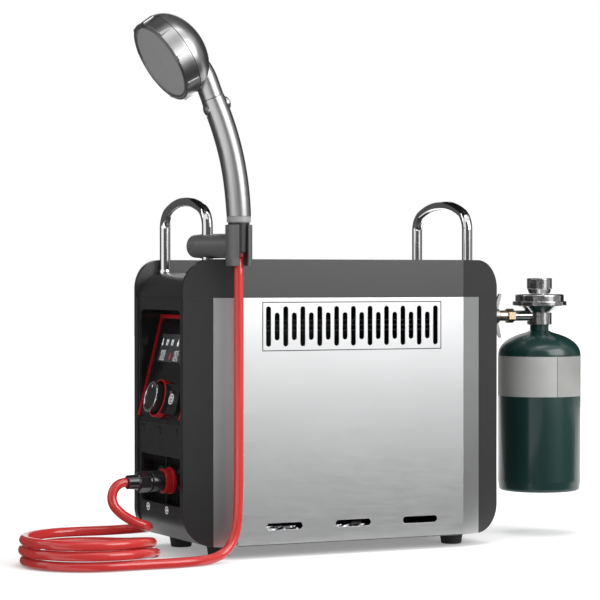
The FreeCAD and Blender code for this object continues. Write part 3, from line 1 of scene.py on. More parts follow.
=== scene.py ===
"""Dressed model of a portable propane water heater, built round its CAD frame.

Metres.  +X is the gas end, -X the control end, -Y the front, +Z up.
"""
import bmesh
import bpy
import math
import numpy as np
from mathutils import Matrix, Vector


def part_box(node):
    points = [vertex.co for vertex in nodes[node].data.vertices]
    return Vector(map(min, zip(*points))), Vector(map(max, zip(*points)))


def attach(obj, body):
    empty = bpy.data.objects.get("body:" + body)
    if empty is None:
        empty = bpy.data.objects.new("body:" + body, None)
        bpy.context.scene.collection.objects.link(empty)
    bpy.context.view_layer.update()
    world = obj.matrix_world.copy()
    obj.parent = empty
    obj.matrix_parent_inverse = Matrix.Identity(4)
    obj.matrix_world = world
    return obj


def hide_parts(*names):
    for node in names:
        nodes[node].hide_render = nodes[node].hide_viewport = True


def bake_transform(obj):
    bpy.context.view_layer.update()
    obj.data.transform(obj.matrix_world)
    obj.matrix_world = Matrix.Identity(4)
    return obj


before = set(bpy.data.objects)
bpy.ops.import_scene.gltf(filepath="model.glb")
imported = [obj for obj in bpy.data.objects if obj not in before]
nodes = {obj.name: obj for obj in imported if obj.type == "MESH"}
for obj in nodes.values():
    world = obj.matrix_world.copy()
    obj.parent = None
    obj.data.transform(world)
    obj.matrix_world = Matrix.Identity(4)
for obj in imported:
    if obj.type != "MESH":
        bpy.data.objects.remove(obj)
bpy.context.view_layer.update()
collection = bpy.context.scene.collection


# ------------------------------------------------------------------ viewpoint
# The heater is looked at from its front left, just under the level of its top.
# A long lens keeps the casing's edges nearly parallel.

VIEW_YAW = 25.95
VIEW_DIP = 0.548
VIEW_PLACE = (-1.1913, -2.4037, 0.3038)
LENS_MM = 141.7
SENSOR_MM = 36.0
SIGHT_LIMIT = 40.0
camera = bpy.data.objects.new("viewpoint", bpy.data.cameras.new("viewpoint"))
camera.data.lens = LENS_MM
camera.data.sensor_width = SENSOR_MM
camera.data.clip_end = SIGHT_LIMIT
camera.location = VIEW_PLACE
camera.rotation_euler = (math.radians(90 - VIEW_DIP), 0, math.radians(-VIEW_YAW))
collection.objects.link(camera)
bpy.context.scene.camera = camera
bpy.context.scene.view_settings.view_transform = "Standard"


# ------------------------------------------------------------------ air and floor
# White air all round and a pale floor that keeps the heater's shadow.  Both look brighter,
# also in reflections, than they shine on dull surfaces, so the light on the heater is soft.

def shader_tree(owner, *kinds):
    """Cleared node tree of a material or world, with new nodes of these kinds."""
    owner.use_nodes = True
    tree = owner.node_tree
    tree.nodes.clear()
    return tree, [tree.nodes.new("ShaderNode" + kind) for kind in kinds]


def seen_rays(tree):
    """1 for rays from the camera and in reflections or glass, 0 for the rest."""
    path = tree.nodes.new("ShaderNodeLightPath")
    value = path.outputs["Is Camera Ray"]
    for kind in ("Is Glossy Ray", "Is Transmission Ray"):
        larger = tree.nodes.new("ShaderNodeMath")
        larger.operation = "MAXIMUM"
        tree.links.new(value, larger.inputs[0])
        tree.links.new(path.outputs[kind], larger.inputs[1])
        value = larger.outputs[0]
    return value


def mesh_object(name, points, faces, material, smooth):
    """Object at the origin with a mesh of these points and faces, in one material."""
    mesh = bpy.data.meshes.new(name)
    mesh.from_pydata(np.asarray(points, float).tolist(), [], [list(face) for face in faces])
    mesh.polygons.foreach_set("use_smooth", [smooth] * len(mesh.polygons))
    mesh.materials.append(material)
    item = bpy.data.objects.new(name, mesh)
    collection.objects.link(item)
    return item


def flat_sheet(name, centre, across, up, material):
    """Rectangle whose corners are centre +- across +- up, with across and up half its sides."""
    signs = np.array([(-1, -1), (1, -1), (1, 1), (-1, 1)])
    corners = np.array(centre) + signs @ np.array([across, up], float)
    item = mesh_object(name, corners, [(0, 1, 2, 3)], material, smooth=False)
    return item


WHITE = (1, 1, 1, 1)
FILL_LEVEL = 0.50
air = bpy.data.worlds.new("studio_air")
bpy.context.scene.world = air
tree, (fill, white, mix, out) = shader_tree(air, "Background", "Background", "MixShader", "OutputWorld")
fill.inputs["Color"].default_value = WHITE
fill.inputs["Strength"].default_value = FILL_LEVEL
white.inputs["Color"].default_value = WHITE
tree.links.new(seen_rays(tree), mix.inputs[0])
tree.links.new(fill.outputs[0], mix.inputs[1])
tree.links.new(white.outputs[0], mix.inputs[2])
tree.links.new(mix.outputs[0], out.inputs[0])

FLOOR_TONE = 0.85
FLOOR_HALF = 9
FLOOR_DROP = 0.0003
# the floor's own glow rises with the distance from the heater's middle: the weaker glow near the heater is
# painted shade round it, which deepens its shadow
GLOW_NEAR = 0.26
GLOW_FAR = 0.92
GLOW_STARTS = 0.40
GLOW_FULL = 1.30
floor_paint = bpy.data.materials.new("studio_floor")
tree, (plain, glow, add, out) = shader_tree(floor_paint, "BsdfDiffuse", "Emission", "AddShader",
                                            "OutputMaterial")
plain.inputs["Color"].default_value = (FLOOR_TONE, FLOOR_TONE, FLOOR_TONE, 1)
coords = tree.nodes.new("ShaderNodeTexCoord")
distance = tree.nodes.new("ShaderNodeVectorMath")
distance.operation = "LENGTH"
# this fade paints shade on the floor round the heater
painted_shade_fade = tree.nodes.new("ShaderNodeMapRange")
painted_shade_fade.interpolation_type = "SMOOTHSTEP"
painted_shade_fade.inputs["From Min"].default_value = GLOW_STARTS
painted_shade_fade.inputs["From Max"].default_value = GLOW_FULL
painted_shade_fade.inputs["To Min"].default_value = GLOW_NEAR
painted_shade_fade.inputs["To Max"].default_value = GLOW_FAR
gain = tree.nodes.new("ShaderNodeMath")
gain.operation = "MULTIPLY"
tree.links.new(coords.outputs["Object"], distance.inputs[0])
tree.links.new(distance.outputs["Value"], painted_shade_fade.inputs["Value"])
tree.links.new(seen_rays(tree), gain.inputs[0])
tree.links.new(painted_shade_fade.outputs["Result"], gain.inputs[1])
tree.links.new(gain.outputs[0], glow.inputs["Strength"])
tree.links.new(plain.outputs[0], add.inputs[0])
tree.links.new(glow.outputs[0], add.inputs[1])
tree.links.new(add.outputs[0], out.inputs["Surface"])
flat_sheet("studio_floor", (0, 0, -FLOOR_DROP), (FLOOR_HALF, 0, 0), (0, FLOOR_HALF, 0), floor_paint)


# ------------------------------------------------------------------ grey cards
# Grey boards stood round the heater, seen only in its polished surfaces, as beside any metal
# object in a studio.  Each has a centre, two half-side vectors and a tone.

CARDS = {
    "card_by_camera": ((-1.1, -3.6, 1.1), (2.6, -1.0, 0), (0, 0, 1.9), 0.10),
    "card_right": ((3.0, -1.6, 1.2), (0.65, 1.2, 0), (0, 0, 1.7), 0.30),
    "card_behind": ((-1.9, 2.9, 1.5), (2.5, 1.2, 0), (0, 0, 1.9), 0.09),
    "card_floor_left": ((-1.78, 1.6, 0.003), (1.56, 0, 0), (0, 1.7, 0), 0.09),
    "card_foot": ((0.9, -1.49, 0.002), (1.5, 0, 0), (0, 1.36, 0), 0.04),
    "card_over": ((-0.2, 1.1, 2.1), (1.9, 0, 0), (0, 1.7, 0), 0.01),
    "card_far_right": ((2.6, 1.4, 1.5), (-0.75, 1.6, 0), (0, 0, 1.9), 0.015),
}
for name, (centre, across, up, tone) in CARDS.items():
    grey = bpy.data.materials.new(name)
    tree, (glow, out) = shader_tree(grey, "Emission", "OutputMaterial")
    glow.inputs["Color"].default_value = (tone, tone, tone, 1)
    tree.links.new(glow.outputs[0], out.inputs["Surface"])
    card = flat_sheet(name, centre, across, up, grey)
    card.visible_camera = False
    card.visible_diffuse = False
    card.visible_shadow = False
    card.visible_transmission = False


# ------------------------------------------------------------------ lamps
# Two large soft boxes, at the front right and overhead, and a narrow weak one at the back
# left.  Each has a place, the spot it is aimed at, its width and height, and its watts.

LAMPS = {
    "lamp_front": ((0.95, -1.95, 1.15), (0.0, 0.0, 0.24), 1.8, 1.5, 38.0),
    "lamp_over": ((0.1, -0.2, 2.4), (0.0, 0.0, 0.2), 2.0, 1.6, 30.0),
    "lamp_rim": ((-1.9, 0.9, 1.5), (-0.1, 0.0, 0.45), 0.25, 1.3, 3.0),
}
for name, (place, target, width, height, power) in LAMPS.items():
    lamp = bpy.data.lights.new(name, "AREA")
    lamp.shape = "RECTANGLE"
    lamp.size = width
    lamp.size_y = height
    lamp.energy = power
    holder = bpy.data.objects.new(name, lamp)
    holder.location = place
    aim = Vector(target) - Vector(place)
    holder.rotation_euler = aim.to_track_quat("-Z", "Y").to_euler()
    collection.objects.link(holder)


# ------------------------------------------------------------------ shower hose
# Red PVC hose, 10.5 mm across: from the connector's tail it folds over on to a loose coil,
# then runs along the ground and up into the foot of the hand shower.

def object_noise(tree, scale, detail, stretch=(1, 1, 1)):
    """Noise value on Object coordinates, with its pattern stretched along the axes."""
    coords = tree.nodes.new("ShaderNodeTexCoord")
    mapping = tree.nodes.new("ShaderNodeMapping")
    mapping.inputs["Scale"].default_value = stretch
    noise = tree.nodes.new("ShaderNodeTexNoise")
    noise.inputs["Scale"].default_value = scale
    noise.inputs["Detail"].default_value = detail
    tree.links.new(coords.outputs["Object"], mapping.inputs["Vector"])
    tree.links.new(mapping.outputs["Vector"], noise.inputs["Vector"])
    return noise.outputs["Fac"]


def spread(tree, value, low, high):
    """Noise value, which mostly lies from 0.3 to 0.7, spread between two levels."""
    span = tree.nodes.new("ShaderNodeMapRange")
    span.inputs["From Min"].default_value = 0.3
    span.inputs["From Max"].default_value = 0.7
    span.inputs["To Min"].default_value = low
    span.inputs["To Max"].default_value = high
    tree.links.new(value, span.inputs["Value"])
    return span.outputs["Result"]


def colour_mix(tree, factor, colour):
    """Mix from a colour at factor 0 towards one still to be set: its second input and its result."""
    mix = tree.nodes.new("ShaderNodeMix")
    mix.data_type = "RGBA"
    share, first, second, mixed = mix.inputs[0], mix.inputs[6], mix.inputs[7], mix.outputs[2]
    first.default_value = (*colour, 1)
    tree.links.new(factor, share)
    return second, mixed


def finish(name, colour, rough, metal=0.0, shade=0.06, smudge=0.04, grain=900.0, relief=0.00002,
           stretch=(1, 1, 1), ior=1.5, coat=0.0, soft_edge=0.0):
    """Surface whose colour, gloss and fine relief wander a little with noise.

    shade is the share that the colour varies by, smudge the change of roughness, grain the
    fineness of the relief, relief its height in metres and soft_edge the radius of its edges.
    """
    material = bpy.data.materials.new(name)
    tree, (surface, out) = shader_tree(material, "BsdfPrincipled", "OutputMaterial")
    tree.links.new(surface.outputs[0], out.inputs["Surface"])
    surface.inputs["Metallic"].default_value = metal
    surface.inputs["IOR"].default_value = ior
    surface.inputs["Coat Weight"].default_value = coat
    surface.inputs["Coat Roughness"].default_value = 0.08
    wander = spread(tree, object_noise(tree, scale=14.0, detail=3.0), 0.0, 1.0)
    lighter, tint = colour_mix(tree, wander, [c * (1 - shade) for c in colour])
    lighter.default_value = (*[min(1.0, c * (1 + shade)) for c in colour], 1)
    tree.links.new(tint, surface.inputs["Base Color"])
    fine = object_noise(tree, grain, detail=2.0, stretch=stretch)
    tree.links.new(spread(tree, fine, rough - smudge, rough + smudge), surface.inputs["Roughness"])
    bump = tree.nodes.new("ShaderNodeBump")
    bump.inputs["Distance"].default_value = relief
    tree.links.new(fine, bump.inputs["Height"])
    tree.links.new(bump.outputs["Normal"], surface.inputs["Normal"])
    if soft_edge:
        worn = tree.nodes.new("ShaderNodeBevel")
        worn.samples = 4
        worn.inputs["Radius"].default_value = soft_edge
        tree.links.new(worn.outputs["Normal"], bump.inputs["Normal"])
    return material


def grid_faces(rows, columns, close_rows=False):
    """Quads between neighbouring points of a rows x columns grid, closed round its columns."""
    i, j = np.meshgrid(np.arange(rows if close_rows else rows - 1), np.arange(columns), indexing="ij")
    after_i = (i + 1) % rows
    after_j = (j + 1) % columns
    corners = (i * columns + j, i * columns + after_j, after_i * columns + after_j, after_i * columns + j)
    return np.stack(corners, -1).reshape(-1, 4)


def end_faces(rows, columns):
    """The first and the last row of a grid as two faces that look away from each other."""
    first = np.arange(columns)
    return [first[::-1].tolist(), (first + (rows - 1) * columns).tolist()]


def tube_along(path, radius, around=16):
    """Tube of rings square to a path, with a cap at each end.

    Each ring is path + radius * (cos a * n + sin a * b), with n the part of a guide direction
    that is square to the path there, and b square to both.  The guide is up on level
    stretches and towards the front on upright ones.
    """
    heading = np.gradient(path, axis=0)
    heading /= np.linalg.norm(heading, axis=1)[:, None]
    upright = heading[:, 2:3] ** 2
    guide = np.array([0, 0, 1.0]) * (1 - upright) + np.array([0, -1.0, 0]) * upright
    n = guide - heading * np.sum(guide * heading, 1)[:, None]
    n /= np.linalg.norm(n, axis=1)[:, None]
    b = np.cross(heading, n)
    a = np.linspace(0, 2 * np.pi, around, endpoint=False)
    rings = (path[:, None, :] + radius * (np.cos(a)[None, :, None] * n[:, None, :]
                                          + np.sin(a)[None, :, None] * b[:, None, :]))
    return rings.reshape(-1, 3), grid_faces(len(path), around).tolist() + end_faces(len(path), around)


HOSE_WIDE = 0.0105
COIL_X = -0.299
COIL_Y = -0.060
COIL_RADIUS = 0.0685
COIL_START = 81.0
COIL_POINTS = 41
POINTS_PER_TURN = 16
# the hose lies on its own turns: it sinks a level late in its first turn and late in its second
TOP_LEVEL = 0.0273
MIDDLE_LEVEL = 0.0163
GROUND_LEVEL = 0.0053
SINK_ANGLES = (300, 396, 660, 756)
# the curve cuts the corners between its points, so they stand a little outside it
CORNER_CUT = 0.981
lead = [(-0.2420, -0.0243, 0.0820), (-0.2500, -0.0243, 0.0822), (-0.2595, -0.0250, 0.0727),
        (-0.2600, -0.0268, 0.0592), (-0.2507, -0.0315, 0.0480), (-0.2385, -0.0375, 0.0400),
        (-0.2254, -0.0395, 0.0355), (-0.2173, -0.0290, 0.0325), (-0.2205, -0.0155, 0.0306),
        (-0.2320, -0.0080, 0.0294), (-0.2472, -0.0035, 0.0286), (-0.2672, 0.0035, 0.0279)]
riser = [(-0.2800, -0.1284, 0.0053), (-0.2540, -0.1286, 0.0053), (-0.2280, -0.1296, 0.0053),
         (-0.2030, -0.1255, 0.0053), (-0.1810, -0.1170, 0.0056), (-0.1630, -0.1106, 0.0110),
         (-0.1505, -0.1076, 0.0270), (-0.1467, -0.1070, 0.0540), (-0.1463, -0.1070, 0.1900),
         (-0.1463, -0.1070, 0.3350)]
# a point of the coil is the centre + reach * (cos, sin) of its angle, at its turn's level
turn_angle = COIL_START + np.arange(COIL_POINTS) * 360.0 / POINTS_PER_TURN
turn_height = np.interp(turn_angle, SINK_ANGLES, (TOP_LEVEL, MIDDLE_LEVEL, MIDDLE_LEVEL, GROUND_LEVEL))
# the limp turns leave the circle by up to 2.8 mm, in a long and a short wave
long_wave = 0.0016 * np.sin(np.radians(turn_angle * 0.71 + 20))
short_wave = 0.0012 * np.sin(np.radians(turn_angle * 1.7))
reach = (COIL_RADIUS + long_wave + short_wave) / CORNER_CUT
coil = np.stack([COIL_X + reach * np.cos(np.radians(turn_angle)),
                 COIL_Y + reach * np.sin(np.radians(turn_angle)), turn_height], 1)
route = np.concatenate([lead, coil, riser])
line = bpy.data.curves.new("hose_line", "CURVE")
line.dimensions = "3D"
line.resolution_u = 10
spline = line.splines.new("NURBS")
spline.points.add(len(route) - 1)
spline.points.foreach_set("co", np.c_[route, np.ones(len(route))].ravel())
spline.order_u = 3
spline.use_endpoint_u = True
line_holder = bpy.data.objects.new("hose_line", line)
collection.objects.link(line_holder)
bpy.context.view_layer.update()
line_mesh = bpy.data.meshes.new_from_object(line_holder)
hose_path = np.zeros(len(line_mesh.vertices) * 3)
line_mesh.vertices.foreach_get("co", hose_path)
hose_path = hose_path.reshape(-1, 3)
bpy.data.objects.remove(line_holder)

hose_red = finish("hose_red_pvc", (0.56, 0.036, 0.034), rough=0.19, shade=0.03, smudge=0.02, grain=1400.0,
                  relief=0.000004, coat=0.4)
hose = mesh_object("shower_hose", *tube_along(hose_path, HOSE_WIDE / 2), hose_red, smooth=True)
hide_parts("hose_lead", "hose_coil", "hose_riser")
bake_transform(hose)


# ------------------------------------------------------------------ casing shells
# Two moulded covers, front and rear, closed by a top cap and a base pan: charcoal plastic
# with a fine eggshell texture and slightly rounded edges.

def dress(material, *names):
    """Give CAD nodes their finish."""
    for name in names:
        for holder in nodes[name].material_slots:
            holder.material = material


charcoal = finish("charcoal_moulding", (0.021, 0.021, 0.022), rough=0.34, shade=0.05, smudge=0.04,
                  grain=2200.0, relief=0.000012, ior=1.6, soft_edge=0.0009)
dress(charcoal, "front_cover", "rear_cover", "top_cap", "base_pan")


# ------------------------------------------------------------------ feet
# Soft black rubber feet under the base pan, which keep the heater from sliding.
# They are dull and a little grainy.

foot_rubber = finish("foot_rubber", (0.018, 0.018, 0.018), rough=0.75, shade=0.12, grain=1200.0,
                     relief=0.00004)
dress(foot_rubber, "feet")


# ------------------------------------------------------------------ silver panels
# Brushed and lacquered aluminium sheet, folded over the facets front and back.  The front one
# is pierced by the grille's slots and the low vents.  A dark line along its lower hem is painted
# shadow, where the folded edge falls in shade.

def add_piece(name, points, faces, body, material, smooth=True):
    """New piece with its faces turned outward, riding on a body."""
    item = mesh_object(name, points, faces, material, smooth)
    form = bmesh.new()
    form.from_mesh(item.data)
    bmesh.ops.recalc_face_normals(form, faces=form.faces)
    form.to_mesh(item.data)
    form.free()
    item.data.update()
    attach(item, body)
    return item


def thin_plates(name, outlines, centre, across, up, lift, body, material, thick=0.0003):
    """Flat anticlockwise outlines, in metres across and up a face, standing on it as thin plates.

    A point (x, y) becomes centre + x * across + y * up, lifted off the face by lift for a
    plate's top and by lift - thick for its foot.
    """
    across, up = np.array(across, float), np.array(up, float)
    out = np.cross(across, up)
    points, faces = [], []
    for outline in outlines:
        base = np.array(centre) + np.array(outline, float) @ np.stack([across, up])
        foot = np.arange(len(base)) + len(points)
        top = foot + len(base)
        points += [*(base + (lift - thick) * out), *(base + lift * out)]
        walls = np.stack([foot, np.roll(foot, -1), np.roll(top, -1), top], 1)
        faces += [foot[::-1].tolist(), top.tolist(), *walls.tolist()]
    return add_piece(name, points, faces, body, material, smooth=False)


silver = finish("satin_aluminium", (0.66, 0.665, 0.67), rough=0.33, metal=1.0, shade=0.015, smudge=0.03,
                grain=1500.0, relief=0.000004, stretch=(0.03, 1, 1), soft_edge=0.0005)
dress(silver, "front_panel", "rear_panel")
# dark ink for print and seams, which also serves as the painted shadow under the panel's hem
dark_ink_and_painted_shade = finish("dark_ink_and_painted_shade", (0.03, 0.03, 0.03), rough=0.5, shade=0.1, grain=3000.0, relief=0.000002)
PANEL_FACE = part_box("front_panel")[0][1]
UPRIGHT = (0, 0, 1)
HEM_HALF = 0.1390
HEM_LOW = 0.0136
HEM_HIGH = 0.0144
HEM_LIFT = 0.0001
# the hem line is a dark strip painted as the shadow under the panel's folded lower edge
hem = [(-HEM_HALF, HEM_LOW), (HEM_HALF, HEM_LOW), (HEM_HALF, HEM_HIGH), (-HEM_HALF, HEM_HIGH)]
thin_plates("panel_hem_painted_shadow", [hem], (0, PANEL_FACE, 0), (1, 0, 0), UPRIGHT, HEM_LIFT, "casing", dark_ink_and_painted_shade)


# ------------------------------------------------------------------ grille frame line
# Thin dark rectangle printed on the front panel round the grille's slots.
# It is ink on the lacquer, built as a band a tenth of a millimetre proud.

LINE_HALF = 0.1108
LINE_LOW = 0.2238
LINE_HIGH = 0.2773
LINE_WIDE = 0.0010
LINE_PROUD = 0.00012
LINE_SUNK = 0.0001


def frame_line(half, low, high):
    """Points and faces of a rectangular band on an upright face: four corners at four offsets.

    A point is corner + inward signs * step, at a depth of its own.  Going round a corner, the
    steps are outside front, inside front, inside back and outside back.
    """
    corners = np.array([(-half, low), (half, low), (half, high), (-half, high)])
    inwards = np.array([(1, 1), (-1, 1), (-1, -1), (1, -1)])
    steps = np.array([(0, -LINE_PROUD), (LINE_WIDE, -LINE_PROUD), (LINE_WIDE, LINE_SUNK), (0, LINE_SUNK)])
    flat = corners[:, None, :] + inwards[:, None, :] * steps[None, :, :1]
    depth = np.broadcast_to(PANEL_FACE + steps[None, :, 1:], flat.shape[:2] + (1,))
    points = np.concatenate([flat[..., :1], depth, flat[..., 1:]], -1)
    return points.reshape(-1, 3), grid_faces(4, 4, close_rows=True)


add_piece("grille_frame_line", *frame_line(LINE_HALF, LINE_LOW, LINE_HIGH), "casing", dark_ink_and_painted_shade, smooth=False)


# ------------------------------------------------------------------ foil liner
# Crumpled aluminium foil laid inside the front panel as a heat shield, seen through the low
# vents.  It was trimmed by hand, so its top edge falls towards the gas end.

FOIL_HALF = 0.1290
FOIL_LOW = 0.0170
FOIL_FACE = -0.0828
FOIL_HALF_THICK = 0.0001
FOIL_COLUMNS = 110
FOIL_ROWS = 18
TRIM_PLACES = (-0.129, -0.045, 0.035, 0.129)
TRIM_HEIGHTS = (0.0345, 0.0318, 0.0306, 0.0200)
# each family of creases has a depth, a pitch and a direction in degrees
CREASES = ((0.0007, 0.017, 20), (0.0006, 0.011, 75), (0.0005, 0.0073, 140), (0.0003, 0.0047, 108))


def crumple(x, z):
    """Depth of the creases: a sum of zigzags of a line's distance run = (x cos t + z sin t) / pitch.

    A zigzag is depth * (2 |run - nearest whole number| - 1/2).
    """
    depth, pitch, turn = np.array(CREASES, float).T[:, :, None, None]
    turn = np.radians(turn)
    run = (x * np.cos(turn) + z * np.sin(turn)) / pitch
    return np.sum(depth * (2 * np.abs(run - np.floor(run + 0.5)) - 0.5), axis=0)


foil = finish("foil", (0.30, 0.30, 0.31), rough=0.26, metal=1.0, shade=0.05, grain=220.0, relief=0.0004)
foil_line = np.linspace(-FOIL_HALF, FOIL_HALF, FOIL_COLUMNS)
foil_top = np.interp(foil_line, TRIM_PLACES, TRIM_HEIGHTS)
foil_x, share = np.meshgrid(foil_line, np.linspace(0, 1, FOIL_ROWS), indexing="ij")
foil_z = FOIL_LOW + share * (foil_top[:, None] - FOIL_LOW)
foil_y = FOIL_FACE + crumple(foil_x, foil_z)
front_side = np.stack([foil_x, foil_y - FOIL_HALF_THICK, foil_z], -1)
back_side = np.stack([foil_x, foil_y + FOIL_HALF_THICK, foil_z], -1)[:, ::-1]
sheet = np.concatenate([front_side, back_side], 1)
faces = grid_faces(FOIL_COLUMNS, 2 * FOIL_ROWS).tolist() + end_faces(FOIL_COLUMNS, 2 * FOIL_ROWS)
liner = add_piece("foil_liner", sheet.reshape(-1, 3), faces, "casing", foil, smooth=False)
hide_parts("heat_shield")


# ------------------------------------------------------------------ end plates
# Flat moulded plates that close the casing at the control end and at the gas end.
# They have the covers' charcoal plastic and texture.

dress(charcoal, "control_end_panel", "gas_end_panel")


# ------------------------------------------------------------------ console
# Gloss black tub let into the control end, with a ribbed face plate that leans back in it.
# A thin moulding of red plastic runs round the tub's mouth.

black_gloss = finish("gloss_black", (0.012, 0.012, 0.013), rough=0.16, shade=0.1, smudge=0.04, grain=300.0,
                     relief=0.000006, soft_edge=0.0004)
dress(black_gloss, "console_housing", "console_face")
red_trim = finish("red_trim", (0.42, 0.010, 0.014), rough=0.30, shade=0.06, grain=700.0, relief=0.00001)
dress(red_trim, "console_trim")


# ------------------------------------------------------------------ display
# Smoked window in the upper part of the face plate.  Its lit seven-segment figures and small
# plain signs are thin plates on its outer face, and one flame among them is red.

display_smoke = finish("display_smoke", (0.070, 0.070, 0.072), rough=0.22, shade=0.05, grain=300.0,
                       relief=0.000003, coat=0.5)
dress(display_smoke, "display_window")

LEAN = math.radians(14.18)
SLOPE_OUT = (-math.cos(LEAN), 0, math.sin(LEAN))
SLOPE_UP = (math.sin(LEAN), 0, math.cos(LEAN))
TO_RIGHT = (0, -1, 0)
SLOPE_MIDDLE = (-0.17935, 0, 0.200)
GLYPH_LIFT = 0.00315
FIGURE_WIDE = 0.0032
FIGURE_HIGH = 0.0048
FIGURE_PITCH = 0.0056
FIGURE_STROKE = 0.0004
FIGURE_SLANT = 0.05
# the ends of a digit's strokes, as columns across and half heights up
SEGMENTS = {"a": ((0, 2), (1, 2)), "b": ((1, 1), (1, 2)), "c": ((1, 0), (1, 1)), "d": ((0, 0), (1, 0)),
            "e": ((0, 0), (0, 1)), "f": ((0, 1), (0, 2)), "g": ((0, 1), (1, 1))}
LIT = {"0": "abcdef", "1": "bc", "5": "acdfg"}
# each figure with the place of its lower left corner
FIGURES = (("100", -0.0368, 0.0178), ("100", -0.0372, 0.0115),
           ("105", 0.0010, 0.0178), ("105", 0.0006, 0.0115))


def glow_print(name, colour, strength):
    """Lit or printed mark: a finish with a little light of its own, which on a printed mark is a painted
    glow.
    """
    material = finish(name, colour, rough=0.4, shade=0.05, grain=2500.0, relief=0.000001)
    surface = next(n for n in material.node_tree.nodes if n.type == "BSDF_PRINCIPLED")
    surface.inputs["Emission Color"].default_value = (*colour, 1)
    surface.inputs["Emission Strength"].default_value = strength
    return material


def bar(p, q, wide):
    """Bar from p to q, anticlockwise, whose pointed ends are half its width long."""
    p, q = np.array(p, float), np.array(q, float)
    along = (q - p) / np.linalg.norm(q - p)
    side = np.array([-along[1], along[0]]) * wide / 2
    near, far = p + along * wide / 2, q - along * wide / 2
    return [p, near - side, far - side, q, far + side, near + side]


def moved(outline, right, up):
    """Outline moved across and up its face."""
    return np.array(outline) + (right, up)


def digits(text, left, low):
    """Outlines of seven-segment digits that lean a little to the right.

    A stroke's end stands at left + place * pitch + x * width + slant * y * height across and
    low + y * height / 2 up, with place the digit's number in its text.
    """
    outlines = []
    for place, digit in enumerate(text):
        for segment in LIT[digit]:
            ends = [(left + place * FIGURE_PITCH + x * FIGURE_WIDE + FIGURE_SLANT * y * FIGURE_HIGH,
                     low + y * FIGURE_HIGH / 2) for x, y in SEGMENTS[segment]]
            outlines.append(bar(*ends, FIGURE_STROKE))
    return outlines


display_white = glow_print("display_white", (0.75, 0.78, 0.80), strength=0.55)
display_red = glow_print("display_red", (0.45, 0.03, 0.05), strength=0.5)
figures = [outline for text, left, low in FIGURES for outline in digits(text, left, low)]
thin_plates("display_figures", figures, SLOPE_MIDDLE, TO_RIGHT, SLOPE_UP, GLYPH_LIFT, "casing", display_white)

SIGNS_LOW = 0.0282
CROSS_PLACES = (-0.0240, -0.0205, -0.0100, -0.0065)
thermometer = [(-0.0012, 0), (0.0012, 0), (0.0016, 0.0020), (0.0007, 0.0032), (0.0007, 0.0078),
               (-0.0007, 0.0078), (-0.0007, 0.0032), (-0.0016, 0.0020)]
flame = [(-0.0015, 0), (0.0015, 0), (0.0020, 0.0030), (0.0008, 0.0055), (0.0003, 0.0082), (-0.0006, 0.0052),
         (-0.0020, 0.0030)]
wide_flame = np.array(flame) * (1.2, 1)
cross_stem = bar((-0.0004, 0), (0.0006, 0.0074), wide=0.0013)
cross_arm = bar((-0.0010, 0.0050), (0.0018, 0.0054), wide=0.0011)
post = bar((0, 0), (0, 0.0074), wide=0.0024)
signs = [moved(thermometer, right=-0.0355, up=SIGNS_LOW)]
signs += [moved(part, place, SIGNS_LOW) for place in CROSS_PLACES for part in (cross_stem, cross_arm)]
signs += [moved(wide_flame, right=0.0080, up=SIGNS_LOW), moved(post, right=0.0190, up=SIGNS_LOW)]
thin_plates("display_symbols", signs, SLOPE_MIDDLE, TO_RIGHT, SLOPE_UP, GLYPH_LIFT, "casing", display_white)
heating_sign = [moved(flame, right=-0.0070, up=0.0128)]
thin_plates("display_heating_sign", heating_sign, SLOPE_MIDDLE, TO_RIGHT, SLOPE_UP, GLYPH_LIFT, "casing",
            display_red)


# ------------------------------------------------------------------ power button
# Round gloss button that presses into the face plate, with a white ring and the usual
# power sign printed on it: an open circle and a stroke in its gap.

SHARP_EDGE = math.radians(35)


def turned(name, profile, centre, axis, body, material, around=72, toward=(0, 1, 0), start=0.0, sweep=360.0):
    """Closed (radius, height) profile turned about an axis.

    A point is centre + r * (cos a * e + sin a * g) + h * axis, with e the part of toward that
    is square to the axis and g square to both.  A sweep under 360 degrees gets two end faces.
    """
    axis = np.array(axis, float) / np.linalg.norm(axis)
    e = np.array(toward, float) - axis * np.dot(axis, toward)
    e /= np.linalg.norm(e)
    g = np.cross(axis, e)
    whole = sweep >= 360
    a = np.radians(start + np.linspace(0, sweep, around, endpoint=not whole))
    radial = np.cos(a)[:, None] * e + np.sin(a)[:, None] * g
    r, h = np.array(profile, float).T
    points = np.array(centre) + r[None, :, None] * radial[:, None, :] + h[None, :, None] * axis
    faces = grid_faces(around, len(r), close_rows=whole).tolist()
    if not whole:
        faces += end_faces(around, len(r))
    item = add_piece(name, points.reshape(-1, 3), faces, body, material)
    item.data.set_sharp_from_angle(angle=SHARP_EDGE)
    return item


def flat_ring(inner, outer, low, high):
    """Profile of a square-edged ring."""
    return [(inner, low), (inner, high), (outer, high), (outer, low)]


dress(black_gloss, "power_button")
# the printed white marks get a painted glow of their own, so they read bright under any light
icon_white_painted_glow = glow_print("icon_white_painted_glow", (0.80, 0.80, 0.80), strength=0.35)
BUTTON_CENTRE = tuple(np.add(*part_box("power_button")) / 2)
BUTTON_LIFT = 0.0022
BUTTON_PRINT = 0.0003
ring_profile = flat_ring(inner=0.0050, outer=0.0058, low=BUTTON_LIFT - BUTTON_PRINT, high=BUTTON_LIFT)
turned("power_ring", ring_profile, BUTTON_CENTRE, SLOPE_OUT, "power_button", icon_white_painted_glow)
arc_profile = flat_ring(inner=0.0024, outer=0.0031, low=BUTTON_LIFT - BUTTON_PRINT, high=BUTTON_LIFT)
turned("power_arc", arc_profile, BUTTON_CENTRE, SLOPE_OUT, "power_button", icon_white_painted_glow, around=40,
       toward=SLOPE_UP, start=40, sweep=280)
stroke = bar((0, 0.0008), (0, 0.0037), wide=0.0007)
